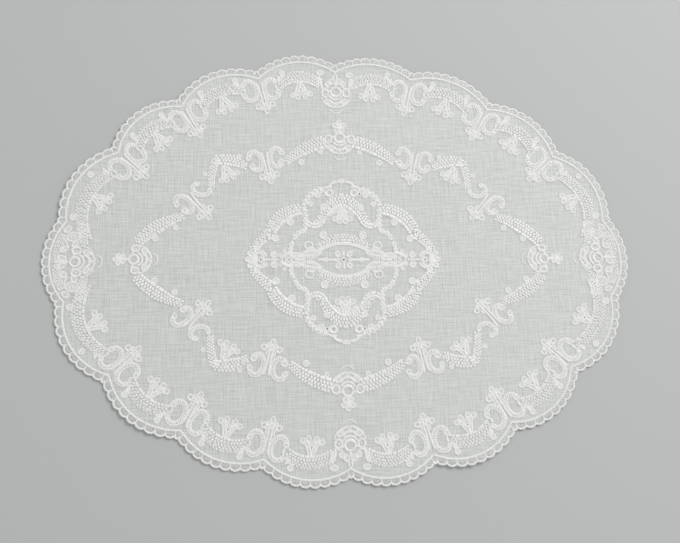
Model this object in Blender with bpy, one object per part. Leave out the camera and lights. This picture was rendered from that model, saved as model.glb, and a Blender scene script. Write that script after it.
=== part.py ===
"""Oval lace doily: one flat sheet of sheer lawn, 400 x 300 mm, cut along embroidered picots.

The doily is made in one piece. Its edge is a round of scallops that meet in inward cusps,
and each scallop carries a row of half-round picots. The white work on the lawn (an edge
cord, a scalloped border, a garland of bands and scrolls, and a pointed oval medallion)
stands proud of the ground, so it is raised in the points of the upper face. The underside
is flat. Lengths in the tables are in millimetres; the mesh is in metres.
"""

import math
from collections.abc import Callable
from typing import NamedTuple

import bmesh
import bpy
import numpy as np
from mathutils import Matrix, Vector
from mathutils.geometry import delaunay_2d_cdt

MM = 0.001

# Heights of the sheet above the surface it lies on.
GROUND = 1.0  # the lawn's upper face
RELIEF = 0.7  # the white work's crown above the lawn

# The picots: half-round loops outside the edge cord.
PICOTS_PER_SCALLOP = 10
PICOT_VALLEY = 3.5  # from the cord's middle to the dip between two picots
PICOT_CREST = 5.3  # from the cord's middle to a picot's crown
PICOT_STEPS = 4  # straight runs along one picot
PICOT_ROUND = 0.55  # 1 is a sine, and less makes the loop squarer

CORD_HALF_WIDTH = 0.8
CORD_STEPS = 9  # straight runs along one scallop
USUAL_CHORD = 58.0  # the border's motifs are charted on a scallop of this chord and this rise
USUAL_RISE = 9.8
FOLLOW = 1.35  # how far the motifs move out for each millimetre more that the arc rises

PATTERN_CENTRE = (-0.2, -0.8)  # of the garland and the medallion, which are mirrored about it
PATTERN_LEAN = -0.010  # how far the cloth is pulled askew: fall of the long axis over its run
THREAD_WHITE = (0.86, 0.875, 0.85, 1.0)
THREAD_ROUGHNESS = 0.85


class Cusp(NamedTuple):
    """Where two scallops meet, listed clockwise from the top."""

    x: float
    y: float
    meeting: str  # what the border makes here: "scrolls", "rosette", or "side" of the long axis
    rise: float  # of the scallop that starts here, from its chord to the cord's middle


CUSPS = (
    Cusp(-1.9, 137.3, "rosette", 8.9),
    Cusp(52.9, 131.8, "scrolls", 9.9),
    Cusp(107.6, 109.5, "scrolls", 10.1),
    Cusp(152.9, 73.6, "scrolls", 10.8),
    Cusp(184.5, 25.7, "side", 10.0),
    Cusp(184.8, -28.8, "side", 11.4),
    Cusp(151.9, -76.7, "scrolls", 11.4),
    Cusp(107.8, -112.5, "scrolls", 11.2),
    Cusp(54.3, -131.9, "scrolls", 10.0),
    Cusp(0.2, -139.1, "rosette", 10.0),
    Cusp(-55.3, -131.7, "scrolls", 9.7),
    Cusp(-107.6, -112.1, "scrolls", 10.4),
    Cusp(-153.5, -76.2, "scrolls", 10.8),
    Cusp(-183.8, -28.1, "side", 10.2),
    Cusp(-184.2, 26.4, "side", 10.9),
    Cusp(-151.7, 75.3, "scrolls", 11.0),
    Cusp(-109.7, 109.6, "scrolls", 11.6),
    Cusp(-56.5, 131.5, "scrolls", 10.2),
)


class Ridge(NamedTuple):
    """A raised line of work: the points of its middle, its half width, and its form."""

    points: tuple
    half_width: float
    closed: bool = False
    pointed: bool = False  # a leaf or petal, which narrows to both ends


class Bow(NamedTuple):
    """A band or line of work that bows to its left from one point to another."""

    x0: float
    y0: float
    x1: float
    y1: float
    bow: float
    half_width: float


class Boss(NamedTuple):
    """A bud or ring of work, raised as a round boss."""

    x: float
    y: float
    radius: float


class Place(NamedTuple):
    """Where a scroll, floret or flower stands and the way that it faces."""

    x: float
    y: float
    heading: float = 90.0  # degrees from the first axis
    size: float = 1.0
    flip: bool = False


class Petal(NamedTuple):
    """A petal of a floret or flower, in the motif's own frame: y is the way that it faces."""

    root_x: float
    root_y: float
    tip_x: float
    tip_y: float


class Fan(NamedTuple):
    """Petals spread round a rosette's ring."""

    count: int
    spread: float  # of the outermost petals, to each side of the way that the fan faces
    start: float  # from the ring's centre
    end: float


class AxisBoss(NamedTuple):
    """A boss that stands once at each end of an axis of the pattern."""

    distance: float  # from the pattern's centre
    radius: float


class BorderChart(NamedTuple):
    """What one scallop holds: u along its chord from the middle, v outwards from the chord."""

    band: Bow
    scroll_sides: tuple[int, ...]  # +1 or -1 for each side that has a scroll
    floret: Place
    buds: tuple[Boss, ...]


# By what the scallop's ends meet: scrolls at both, or a rosette on the short or the long axis.
BORDER_CHARTS = {
    "scrolls": BorderChart(
        Bow(-15.0, -6.4, 15.0, -6.4, 5.4, 4.3),
        (-1, 1),
        Place(0.0, -10.8, -90.0, 1.06),
        (Boss(-13.2, 2.6, 2.5), Boss(13.2, 2.6, 2.5)),
    ),
    "rosette": BorderChart(
        Bow(-17.0, -8.4, 14.2, -6.2, 5.7, 4.3),
        (1,),
        Place(-1.6, -11.0, -90.0, 1.06),
        (Boss(-18.0, 0.2, 2.6), Boss(10.9, 2.8, 2.5)),
    ),
    "side": BorderChart(
        Bow(-15.0, -6.4, 32.4, -19.8, 10.6, 4.3),
        (-1,),
        Place(5.2, -10.4, -90.0, 1.06),
        (Boss(-6.0, 4.9, 2.6), Boss(24.0, -3.2, 2.6)),
    ),
}
BOW_STEPS = 4  # straight runs along a bow

# A scroll is an arc of an oval, in its own frame: x across it, and y the way that it faces.
SCROLL_RADII = (5.3, 7.3)
SCROLL_START = math.radians(132)
SCROLL_SWEEP = math.radians(-276)
SCROLL_STEPS = 6
SCROLL_HALF_WIDTH = 1.5
BORDER_SCROLL = Place(19.8, -8.6, 82.0)

# Side petals are charted on one side of the motif, and set on both.
FLORET_PETALS = (Petal(1.4, -1.2, 6.8, 6.2), Petal(0.0, 1.2, 0.0, 6.4))
FLORET_HALF_WIDTH = 1.8
FLOWER_LOBES = (Petal(1.6, 5.5, 6.6, 11.8), Petal(0.0, 6.5, 0.0, 16.4))
FLOWER_HALF_WIDTH = 2.1
FLOWER_FROM_CUSP = 11.7

# Rosettes of the border, charted with their ring at (0, 0) and the middle of the doily below.
POLE_RING_FROM_CUSP = 15.0
SIDE_RING_FROM_CHORD = 6.4
ROSETTE_RING_RADIUS = 3.4
ROSETTE_RING_HALF_WIDTH = 1.1
ROSETTE_PETAL_HALF_WIDTH = 2.0
ROSETTE_FAN = Fan(count=5, spread=math.radians(68), start=6.0, end=11.6)
SIDE_FAN = Fan(count=7, spread=math.radians(78), start=7.0, end=13.2)

# Garland and medallion: what stands in the quarter x > 0, y > 0 about the pattern's centre.
GARLAND_BANDS = (
    Bow(9.2, 85.2, 38.4, 69.4, 2.4, 4.3),
    Bow(64.4, 65.6, 87.6, 70.4, 2.6, 3.6),
    Bow(86.0, 71.8, 89.0, 50.6, 1.2, 2.7),
    Bow(107.1, 30.3, 138.2, 10.9, 2.8, 3.9),
)
GARLAND_SCROLLS = (
    Place(44.3, 73.4, 86.0, 0.92),
    Place(59.3, 70.3, 74.0, 0.92, flip=True),
    Place(96.2, 49.6, 14.0, 0.86),
    Place(107.6, 38.7, 44.0, 0.92, flip=True),
)
GARLAND_FLOWERS = (Place(51.6, 69.9, -102.3), Place(100.2, 40.6, 229.0, 0.98))
GARLAND_FLORETS = (Place(79.0, 62.3, -118.0),)
MEDALLION_LINES = (
    Bow(28.0, 35.8, 49.4, 19.9, 4.0, 4.2),
    Bow(48.6, 19.8, 61.6, 6.8, 0.8, 3.2),
    Bow(11.4, 50.2, 26.4, 38.2, 3.4, 2.0),
    Bow(26.4, 37.6, 25.6, 21.2, -0.6, 1.9),
    Bow(24.7, 20.4, 33.6, 13.8, 2.4, 1.5),
    Bow(33.7, 13.3, 35.6, 4.6, 1.3, 1.4),
    Bow(0.8, 41.6, 15.0, 28.0, 2.8, 4.0),
    Bow(14.8, 27.6, 24.4, 26.6, -3.2, 1.7),
    Bow(0.8, 14.8, 17.8, 8.2, 1.9, 3.2),
    Bow(15.4, 5.0, 30.2, 2.6, 0.4, 1.8),
)
QUARTER_BOSSES = (
    Boss(3.9, 3.9, 2.1),
    Boss(8.6, 47.5, 2.6),
    Boss(13.6, 17.2, 2.9),
    Boss(16.6, 46.0, 2.4),
    Boss(23.6, 10.0, 2.5),
    Boss(36.0, 26.4, 2.6),
    Boss(46.2, 14.8, 2.6),
    Boss(27.2, 69.8, 2.4),
    Boss(93.6, 60.6, 1.9),
    Boss(125.9, 14.4, 2.4),
)
LONG_AXIS_BOSSES = (
    AxisBoss(37.8, 3.2),
    AxisBoss(47.8, 2.4),
    AxisBoss(60.4, 5.0),
    AxisBoss(149.4, 4.2),
)
SHORT_AXIS_BOSSES = (AxisBoss(29.6, 3.2), AxisBoss(56.4, 2.2), AxisBoss(97.4, 4.2))
GARLAND_ROSETTES = ((0.0, 88.2), (139.6, 0.0))  # from the pattern's centre, and again opposite
BOSS_SIDES = 6

# A leaf or petal: its stations, as shares of its length, and its width at each, as shares of the widest.
LEAF_STATIONS = (0.0, 0.55, 1.0)
LEAF_WIDTHS = (0.25, 1.0, 0.35)

LEAST_MITRE = 0.6  # keeps a border's corner near its ridge where the ridge turns sharply
BARELY = 0.14  # share of the relief below which a point stays down on the lawn


class Scallop:
    """One arc of the edge, from one cusp to the next, and the frame its motifs are charted in."""

    def __init__(self, start: Cusp, end: Cusp) -> None:
        self.start = start
        self.end = end
        first, last = Vector((start.x, start.y)), Vector((end.x, end.y))
        self.chord = (last - first).length
        self.middle = (first + last) / 2
        self.along = (last - first).normalized()
        self.outwards = Vector((-self.along.y, self.along.x))
        self.radius = (self.chord**2 / 4 + start.rise**2) / (2 * start.rise)
        self.half_angle = math.asin(self.chord / 2 / self.radius)
        self.set_out = FOLLOW * (start.rise - USUAL_RISE)

    def on_arc(self, share: float, offset: float = 0.0) -> Vector:
        """The point at this share of the arc's length, moved outwards by offset."""
        angle = self.half_angle * (2 * share - 1)
        reach = self.radius + offset
        centre = self.middle + self.outwards * (self.start.rise - self.radius)
        return centre + self.along * (reach * math.sin(angle)) + self.outwards * (reach * math.cos(angle))

    def place(self, u: float, v: float) -> Vector:
        """A charted point of the border's motif, in the doily's plane."""
        along = self.along * (u * self.chord / USUAL_CHORD)
        return self.middle + along + self.outwards * (v + self.set_out)


SCALLOPS = tuple(Scallop(start, CUSPS[(i + 1) % len(CUSPS)]) for i, start in enumerate(CUSPS))


def picot_outline() -> list[Vector]:
    """The doily's edge: a half-round loop over each step between two dips."""
    dips = [
        scallop.on_arc((i + 0.5) / PICOTS_PER_SCALLOP, PICOT_VALLEY)
        for scallop in SCALLOPS
        for i in range(PICOTS_PER_SCALLOP)
    ]
    outline = []
    for i, dip in enumerate(dips):
        following = dips[(i + 1) % len(dips)]
        run = following - dip
        outwards = Vector((-run.y, run.x)).normalized()
        for step in range(PICOT_STEPS):
            share = step / PICOT_STEPS
            swell = math.sin(math.pi * share) ** PICOT_ROUND * (PICOT_CREST - PICOT_VALLEY)
            outline.append(dip + run * share + outwards * swell)
    return outline


def edge_cord() -> Ridge:
    """The satin cord along all the scallops' arcs."""
    points = [scallop.on_arc(i / CORD_STEPS) for scallop in SCALLOPS for i in range(CORD_STEPS)]
    return Ridge(tuple(points), CORD_HALF_WIDTH, closed=True)


def petals_round(centre: Vector, facing: Vector, fan: Fan) -> list[Ridge]:
    """Petals that fan out from a centre, evenly spread to both sides of the way they face."""
    found = []
    for i in range(fan.count):
        way = Matrix.Rotation(fan.spread * (2 * i / (fan.count - 1) - 1), 2) @ facing
        ends = (centre + way * fan.start, centre + way * fan.end)
        found.append(Ridge(ends, ROSETTE_PETAL_HALF_WIDTH, pointed=True))
    return found


def ring_round(centre: Vector) -> Ridge:
    """The eyelet ring in the middle of a rosette."""
    turns = [2 * math.pi * i / BOSS_SIDES for i in range(BOSS_SIDES)]
    points = [centre + Vector((math.cos(turn), math.sin(turn))) * ROSETTE_RING_RADIUS for turn in turns]
    return Ridge(tuple(points), ROSETTE_RING_HALF_WIDTH, closed=True)


def rosette(centre: Vector, facing: Vector) -> list[Ridge]:
    """A ring with a fan of petals on the side that faces the doily's middle."""
    return [ring_round(centre), *petals_round(centre, facing, ROSETTE_FAN)]


def bowed(bow: Bow) -> list[Vector]:
    """The points along a bow's middle."""
    first, last = Vector((bow.x0, bow.y0)), Vector((bow.x1, bow.y1))
    run = last - first
    left = Vector((-run.y, run.x)).normalized()
    shares = [i / BOW_STEPS for i in range(BOW_STEPS + 1)]
    return [first + run * share + left * (4 * bow.bow * share * (1 - share)) for share in shares]


def set_down(place: Place, x: float, y: float) -> Vector:
    """A point of a motif's own frame, where the motif stands."""
    heading = math.radians(place.heading)
    up = Vector((math.cos(heading), math.sin(heading))) * place.size
    across = Vector((up.y, -up.x)) * (-1 if place.flip else 1)
    return Vector((place.x, place.y)) + across * x + up * y


def scroll_line(place: Place) -> list[Vector]:
    """The points along a scroll's middle, from its head to its foot."""
    turns = [SCROLL_START + SCROLL_SWEEP * i / SCROLL_STEPS for i in range(SCROLL_STEPS + 1)]
    wide, tall = SCROLL_RADII
    return [set_down(place, wide * math.cos(turn), tall * math.sin(turn)) for turn in turns]


def petals(place: Place, charted: tuple[Petal, ...], half_width: float) -> list[Ridge]:
    """The petals of a floret or flower, those beside its middle on both sides."""
    found = []
    for petal in charted:
        for side in (1, -1) if petal.tip_x else (1,):
            root = set_down(place, petal.root_x * side, petal.root_y)
            tip = set_down(place, petal.tip_x * side, petal.tip_y)
            found.append(Ridge((root, tip), half_width * place.size, pointed=True))
    return found


def moved(ridge: Ridge, move: Callable[[Vector], Vector]) -> Ridge:
    """The ridge with each of its points moved."""
    return ridge._replace(points=tuple(move(point) for point in ridge.points))


def in_scallop(scallop: Scallop) -> tuple[list[Ridge], list[tuple]]:
    """Band, scrolls, floret and buds of one scallop."""
    meetings = (scallop.start.meeting, scallop.end.meeting)
    (kind,) = set(meetings) - {"scrolls"} or {"scrolls"}
    sense = -1 if meetings in (("scrolls", "rosette"), ("side", "scrolls")) else 1
    chart = BORDER_CHARTS[kind]
    ridges = [Ridge(tuple(bowed(chart.band)), chart.band.half_width)]
    for side in chart.scroll_sides:
        place = BORDER_SCROLL._replace(x=BORDER_SCROLL.x * side, flip=side < 0)
        ridges.append(Ridge(tuple(scroll_line(place)), SCROLL_HALF_WIDTH))
    ridges += petals(chart.floret, FLORET_PETALS, FLORET_HALF_WIDTH)
    bosses = [(*scallop.place(bud.x * sense, bud.y), bud.radius) for bud in chart.buds]
    in_place = [moved(ridge, lambda point: scallop.place(point.x * sense, point.y)) for ridge in ridges]
    return in_place, bosses


def border() -> tuple[list[Ridge], list[tuple]]:
    """What the scallops hold, the flowers in the cusps and the rosettes."""
    ridges, bosses = [], []
    for i, scallop in enumerate(SCALLOPS):
        if scallop.start.meeting == scallop.end.meeting == "side":
            centre = scallop.middle - scallop.outwards * SIDE_RING_FROM_CHORD
            ridges += rosette(centre, -scallop.outwards)
            ridges += petals_round(centre, scallop.outwards, SIDE_FAN)
        else:
            held = in_scallop(scallop)
            ridges += held[0]
            bosses += held[1]
        inwards = -(SCALLOPS[i - 1].outwards + scallop.outwards).normalized()
        cusp = Vector((scallop.start.x, scallop.start.y))
        if scallop.start.meeting == "scrolls":
            set_out = (SCALLOPS[i - 1].set_out + scallop.set_out) / 2
            root = cusp + inwards * (FLOWER_FROM_CUSP - set_out)
            heading = math.degrees(math.atan2(inwards.y, inwards.x))
            ridges += petals(Place(root.x, root.y, heading), FLOWER_LOBES, FLOWER_HALF_WIDTH)
        elif scallop.start.meeting == "rosette":
            ridges += rosette(cusp + inwards * POLE_RING_FROM_CUSP, inwards)
    return ridges, bosses


def quarter() -> list[Ridge]:
    """The ridges of one quarter of the garland and the medallion."""
    found = [Ridge(tuple(bowed(bow)), bow.half_width) for bow in GARLAND_BANDS + MEDALLION_LINES]
    found += [Ridge(tuple(scroll_line(place)), SCROLL_HALF_WIDTH) for place in GARLAND_SCROLLS]
    for places, charted, half_width in (
        (GARLAND_FLOWERS, FLOWER_LOBES, FLOWER_HALF_WIDTH),
        (GARLAND_FLORETS, FLORET_PETALS, FLORET_HALF_WIDTH),
    ):
        for place in places:
            found += petals(place, charted, half_width)
    return found


def in_pattern(x: float, y: float) -> Vector:
    """A point charted from the pattern's centre, in the doily's plane."""
    return Vector(PATTERN_CENTRE) + Vector((x, y + PATTERN_LEAN * x))


def mirrored() -> tuple[list[Ridge], list[tuple]]:
    """The garland and the medallion in all four quarters."""
    ridges, bosses = [], []
    for across in (1, -1):
        for up in (1, -1):
            turn = Vector((across, up))
            ridges += [moved(ridge, lambda point: in_pattern(*(point * turn))) for ridge in quarter()]
            bosses += [(*in_pattern(x * across, y * up), radius) for x, y, radius in QUARTER_BOSSES]
    for way in (1, -1):
        bosses += [(*in_pattern(x * way, 0.0), radius) for x, radius in LONG_AXIS_BOSSES]
        bosses += [(*in_pattern(0.0, y * way), radius) for y, radius in SHORT_AXIS_BOSSES]
        for x, y in GARLAND_ROSETTES:
            facing = -Vector((x, y)).normalized() * way
            ridges += rosette(in_pattern(x * way, y * way), facing)
    return ridges, bosses


def widths(ridge: Ridge) -> tuple[list[Vector], list[float]]:
    """The stations along a ridge's middle, and its half width at each."""
    points = [Vector(point) for point in ridge.points]
    if not ridge.pointed:
        return points, [ridge.half_width] * len(points)
    first, last = points
    stations = [first.lerp(last, share) for share in LEAF_STATIONS]
    return stations, [ridge.half_width * share for share in LEAF_WIDTHS]


def side_points(points: list[Vector], half_widths: list[float], closed: bool) -> tuple[list, list]:
    """The ridge's left and right borders, one point of each for every station."""
    left, right = [], []
    count = len(points)
    for i, point in enumerate(points):
        runs = []
        if i or closed:
            runs.append((point - points[i - 1]).normalized())
        if i < count - 1 or closed:
            runs.append((points[(i + 1) % count] - point).normalized())
        way = (runs[0] + runs[-1]).normalized()
        reach = Vector((-way.y, way.x)) * half_widths[i] / max(way.dot(runs[0]), LEAST_MITRE)
        left.append(point + reach)
        right.append(point - reach)
    return left, right


class Relief:
    """The upper face: points and creases for the triangulation, and the height at any point."""

    def __init__(self) -> None:
        self.points: list[Vector] = []
        self.creases: list[tuple[int, int]] = []
        self.runs: list[tuple] = []  # ax, ay, bx, by, width a, width b, distance left before a, after b
        self.bosses: list[tuple] = []

    def line(self, points: list[Vector], closed: bool) -> None:
        """Adds a crease through these points."""
        start = len(self.points)
        self.points += points
        count = len(points)
        self.creases += [(start + i, start + (i + 1) % count) for i in range(count if closed else count - 1)]

    def add_ridge(self, ridge: Ridge) -> None:
        """Adds a ridge's borders and crown. An open one has hipped ends."""
        points, half_widths = widths(ridge)
        left, right = side_points(points, half_widths, ridge.closed)
        crown = points if ridge.closed else points[1:-1]
        if ridge.closed:
            self.line(left, closed=True)
            self.line(right, closed=True)
        else:
            self.line(left + right[::-1], closed=True)
        if crown:
            self.line(crown, closed=ridge.closed)
        self.note_runs(points, half_widths, ridge.closed)

    def note_runs(self, points: list[Vector], half_widths: list[float], closed: bool) -> None:
        """Keeps each straight run of a ridge, which heights() measures from."""
        count = len(points)
        pairs = [(i, (i + 1) % count) for i in range(count if closed else count - 1)]
        lengths = [(points[b] - points[a]).length for a, b in pairs]
        for order, (a, b) in enumerate(pairs):
            before = math.inf if closed else sum(lengths[:order])
            after = math.inf if closed else sum(lengths[order + 1 :])
            self.runs.append((*points[a], *points[b], half_widths[a], half_widths[b], before, after))

    def add_boss(self, x: float, y: float, radius: float) -> None:
        """Adds a round boss, highest in its middle."""
        centre = Vector((x, y))
        turns = [2 * math.pi * (i + 0.5) / BOSS_SIDES for i in range(BOSS_SIDES)]
        self.line([centre + Vector((math.cos(turn), math.sin(turn))) * radius for turn in turns], closed=True)
        self.points.append(centre)
        self.bosses.append((x, y, radius))

    def heights(self, places: np.ndarray) -> np.ndarray:
        """How far the white work stands above the lawn at each place."""
        rise = np.zeros(len(places))
        for ax, ay, bx, by, width_a, width_b, before, after in self.runs:
            run = np.array((bx - ax, by - ay))
            length = float(np.hypot(*run))
            share = np.clip(((places - (ax, ay)) @ run) / length**2, 0.0, 1.0)
            away = np.hypot(*(places - (ax, ay) - share[:, None] * run).T)
            width = width_a + (width_b - width_a) * share
            to_end = np.minimum(before + share * length, after + (1 - share) * length)
            rise = np.maximum(rise, np.minimum(1 - away / width, to_end / width))
        for x, y, radius in self.bosses:
            rise = np.maximum(rise, 1 - np.hypot(*(places - (x, y)).T) / radius)
        return RELIEF * np.where(rise < BARELY, 0.0, rise)


def triangulated(points: list[Vector], outline_count: int, creases: list[tuple[int, int]]) -> tuple:
    """(points, triangles, where each outline point went) for the region inside the outline."""
    outline = list(range(outline_count))
    nearest_merge = 1e-3
    inside_constraints = 1
    made = delaunay_2d_cdt(points, creases, [outline], inside_constraints, nearest_merge)
    made_points, _, triangles, sources = made[:4]
    went = {source: i for i, group in enumerate(sources) for source in group if source < outline_count}
    return made_points, triangles, [went[i] for i in outline]


def build_mesh() -> bpy.types.Mesh:
    """The doily as one closed body: relief above, flat below, and a wall round its edge."""
    outline = picot_outline()
    relief = Relief()
    relief.points += outline
    relief.add_ridge(edge_cord())
    for ridges, bosses in (border(), mirrored()):
        for ridge in ridges:
            relief.add_ridge(ridge)
        for boss in bosses:
            relief.add_boss(*boss)

    upper, upper_faces, upper_rim = triangulated(relief.points, len(outline), relief.creases)
    lower, lower_faces, lower_rim = triangulated(outline, len(outline), [])
    rise = relief.heights(np.array([tuple(point) for point in upper]))

    spread = np.array([tuple(point) for point in outline])
    middle = (spread.min(axis=0) + spread.max(axis=0)) / 2

    work = bmesh.new()
    above = [
        work.verts.new(((x - middle[0]) * MM, (y - middle[1]) * MM, (GROUND + up) * MM))
        for (x, y), up in zip(upper, rise)
    ]
    below = [work.verts.new(((x - middle[0]) * MM, (y - middle[1]) * MM, 0.0)) for x, y in lower]
    for face in upper_faces:
        work.faces.new([above[i] for i in face])
    for face in lower_faces:
        work.faces.new([below[i] for i in reversed(face)])
    for i in range(len(outline)):
        j = (i + 1) % len(outline)
        work.faces.new((below[lower_rim[i]], below[lower_rim[j]], above[upper_rim[j]], above[upper_rim[i]]))
    bmesh.ops.recalc_face_normals(work, faces=work.faces)
    bmesh.ops.triangulate(work, faces=work.faces)
    mesh = bpy.data.meshes.new("doily")
    work.to_mesh(mesh)
    work.free()
    return mesh


def thread_material() -> bpy.types.Material:
    """Bleached cotton: off-white, matt, not metallic."""
    material = bpy.data.materials.new("bleached cotton lawn")
    material.use_nodes = True
    shader = material.node_tree.nodes["Principled BSDF"]
    shader.inputs["Base Color"].default_value = THREAD_WHITE
    shader.inputs["Roughness"].default_value = THREAD_ROUGHNESS
    shader.inputs["Metallic"].default_value = 0.0
    return material


def main() -> None:
    """Clears the scene and builds the doily, its middle over the origin and its underside at z = 0."""
    for existing in list(bpy.data.objects):
        bpy.data.objects.remove(existing)
    doily = bpy.data.objects.new("doily", build_mesh())
    doily.data.materials.append(thread_material())
    bpy.context.scene.collection.objects.link(doily)


main()
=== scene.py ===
"""Oval lace doily laid flat: sheer cotton lawn, 400 x 300 mm, with white machine embroidery.

Each stitch is a short length of thread. Charts are in millimetres, and a motif's places and sizes
stand in the order of its fields. The border is charted in one scallop and placed eighteen times. The
garland and the medallion are charted in one quarter and mirrored about both axes of the oval.
"""

import logging
import math
from dataclasses import dataclass, field
from enum import Enum
from typing import NamedTuple

import bpy
import numpy as np
from mathutils import Matrix, Vector
from mathutils.geometry import delaunay_2d_cdt


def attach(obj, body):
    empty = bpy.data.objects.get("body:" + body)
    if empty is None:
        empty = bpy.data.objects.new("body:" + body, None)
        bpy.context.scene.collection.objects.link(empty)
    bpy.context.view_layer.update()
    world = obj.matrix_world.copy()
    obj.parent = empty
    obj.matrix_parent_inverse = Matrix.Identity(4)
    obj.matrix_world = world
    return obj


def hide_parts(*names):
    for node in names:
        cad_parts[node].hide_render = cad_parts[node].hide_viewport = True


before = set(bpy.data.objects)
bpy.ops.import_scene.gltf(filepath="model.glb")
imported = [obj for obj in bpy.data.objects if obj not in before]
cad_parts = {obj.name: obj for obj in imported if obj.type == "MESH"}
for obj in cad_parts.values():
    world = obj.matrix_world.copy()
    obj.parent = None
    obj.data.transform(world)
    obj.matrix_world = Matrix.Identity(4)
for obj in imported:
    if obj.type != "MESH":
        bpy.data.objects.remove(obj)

LOG = logging.getLogger("doily")
MM = 0.001
SEED = 1907

Pair = tuple[float, float] | np.ndarray  # x and y
Path = tuple[Pair, ...] | np.ndarray


class Axis(Enum):
    """What a chart is mirrored about."""

    NONE = ((1, 1),)
    UPRIGHT = ((1, 1), (-1, 1))
    LEVEL = ((1, 1), (1, -1))
    BOTH = ((1, 1), (-1, 1), (1, -1), (-1, -1))


class Meeting(Enum):
    """What the border makes where two scallops meet."""

    SCROLLS = "scrolls"
    ROSETTE = "rosette"  # on the short axis
    SIDE = "side"  # of the long axis


SCROLLS, ROSETTE, SIDE = Meeting


# --- Paths ---

CURVE_STEPS = 10  # points along a smooth curve between two charted ones
ARC_STEP = 24.0  # degrees between the charted points of an oval arc
BOW_POINTS = 9
LOOK = 0.4  # how far each way a curve's direction is taken over
TINY = 1e-9


def left_of(run: np.ndarray) -> np.ndarray:
    """The directions, turned a quarter to the left."""
    return np.stack([-run[..., 1], run[..., 0]], axis=-1)


def facing(degrees: float) -> np.ndarray:
    """The direction at this many degrees from the first axis."""
    return np.array([math.cos(math.radians(degrees)), math.sin(math.radians(degrees))])


def smooth(points: Path, closed: bool = False) -> np.ndarray:
    """A smooth curve through charted points.

    Args:
        points: the charted points.
        closed: whether the curve runs back to its first point.

    Returns:
        The curve's points, as rows of x and y.
    """
    knots = np.asarray(points, dtype=float)
    if closed:
        before, start, end, after = (np.roll(knots, -k, axis=0) for k in (-1, 0, 1, 2))
    else:
        ends = np.vstack([2 * knots[:1] - knots[1:2], knots, 2 * knots[-1:] - knots[-2:-1]])
        before, start, end, after = (ends[k : len(ends) - 3 + k] for k in range(4))
    t = (np.arange(CURVE_STEPS) / CURVE_STEPS)[None, :, None]
    p0, p1, p2, p3 = (p[:, None, :] for p in (before, start, end, after))
    bend = 2 * p0 - 5 * p1 + 4 * p2 - p3
    twist = 3 * p1 - p0 - 3 * p2 + p3
    curve = (p1 + 0.5 * ((p2 - p0) * t + bend * t**2 + twist * t**3)).reshape(-1, 2)
    return np.vstack([curve, knots[:1] if closed else knots[-1:]])


def arc(radii: Pair, start: float, sweep: float, swell: float = 1.0, centre: Pair = (0.0, 0.0)) -> Path:
    """Charts an oval arc.

    Args:
        radii: across the motif and along it.
        start: the direction of its first point, in degrees.
        sweep: how far it runs on from there, in degrees.
        swell: what its radii are multiplied by at its end.
        centre: the oval's centre.

    Returns:
        Its points.
    """
    count = max(int(abs(sweep) / ARC_STEP), 2)
    points = []
    for i in range(count + 1):
        grown = 1 + (swell - 1) * i / count
        points.append(centre + np.array(radii) * grown * facing(start + sweep * i / count))
    return np.array(points)


def bowed(start: Pair, end: Pair, bow: float) -> Path:
    """Charts a line that bows to its left.

    Args:
        start: its first point.
        end: its last point.
        bow: how far its middle stands off the straight line.

    Returns:
        Its points.
    """
    first, run = np.array(start), np.array(end) - np.array(start)
    left = left_of(run) / np.linalg.norm(run)
    shares = np.linspace(0, 1, BOW_POINTS)[:, None]
    return first + run * shares + left * 4 * bow * shares * (1 - shares)


class Route:
    """A curve walked at an even pace."""

    def __init__(self, curve: np.ndarray, pace: float) -> None:
        """Walks the curve in equal steps.

        Args:
            curve: the curve's points.
            pace: about how long a step is.
        """
        steps = np.linalg.norm(np.diff(curve, axis=0), axis=1)
        self.curve, self.along = curve, np.concatenate([[0.0], np.cumsum(steps)])
        self.length = float(self.along[-1])
        self.count = max(int(round(self.length / pace)), 2)
        self.shares = (np.arange(self.count) + 0.5) / self.count

    def at(self, shares: np.ndarray) -> np.ndarray:
        """The points at these shares of the length."""
        where = np.clip(shares, 0, 1) * self.length
        return np.stack([np.interp(where, self.along, self.curve[:, k]) for k in (0, 1)], axis=1)

    def tangents(self, shares: np.ndarray) -> np.ndarray:
        """The curve's direction at these shares of the length."""
        reach = LOOK / max(self.length, 2 * LOOK)
        run = self.at(shares + reach) - self.at(shares - reach)
        return run / np.maximum(np.linalg.norm(run, axis=1, keepdims=True), TINY)

    def leans(self, shares: np.ndarray, slant: float = 0.0) -> np.ndarray:
        """The direction to the curve's left, slanted along it by this share."""
        return left_of(self.tangents(shares)) + slant * self.tangents(shares)


# --- Stitches ---

SATIN_PITCH = 0.58  # from one satin stitch to the next
THREAD = 0.66  # the width that one thread covers once it lies on the cloth
STITCH_SPREAD = 1.25  # a satin line comes out this much wider than charted, as its thread spreads
SHORTEST = 0.15  # a stitch shorter than this isn't laid
CROWN_LEAST = 0.14
CROWN_PER_WIDTH = 0.07
CROWN_MOST = 0.45
STRAY = 0.045  # the usual error of a stitch's ends
SIZE_STRAY = 0.06  # the usual error of its width and crown, as a share of them


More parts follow.
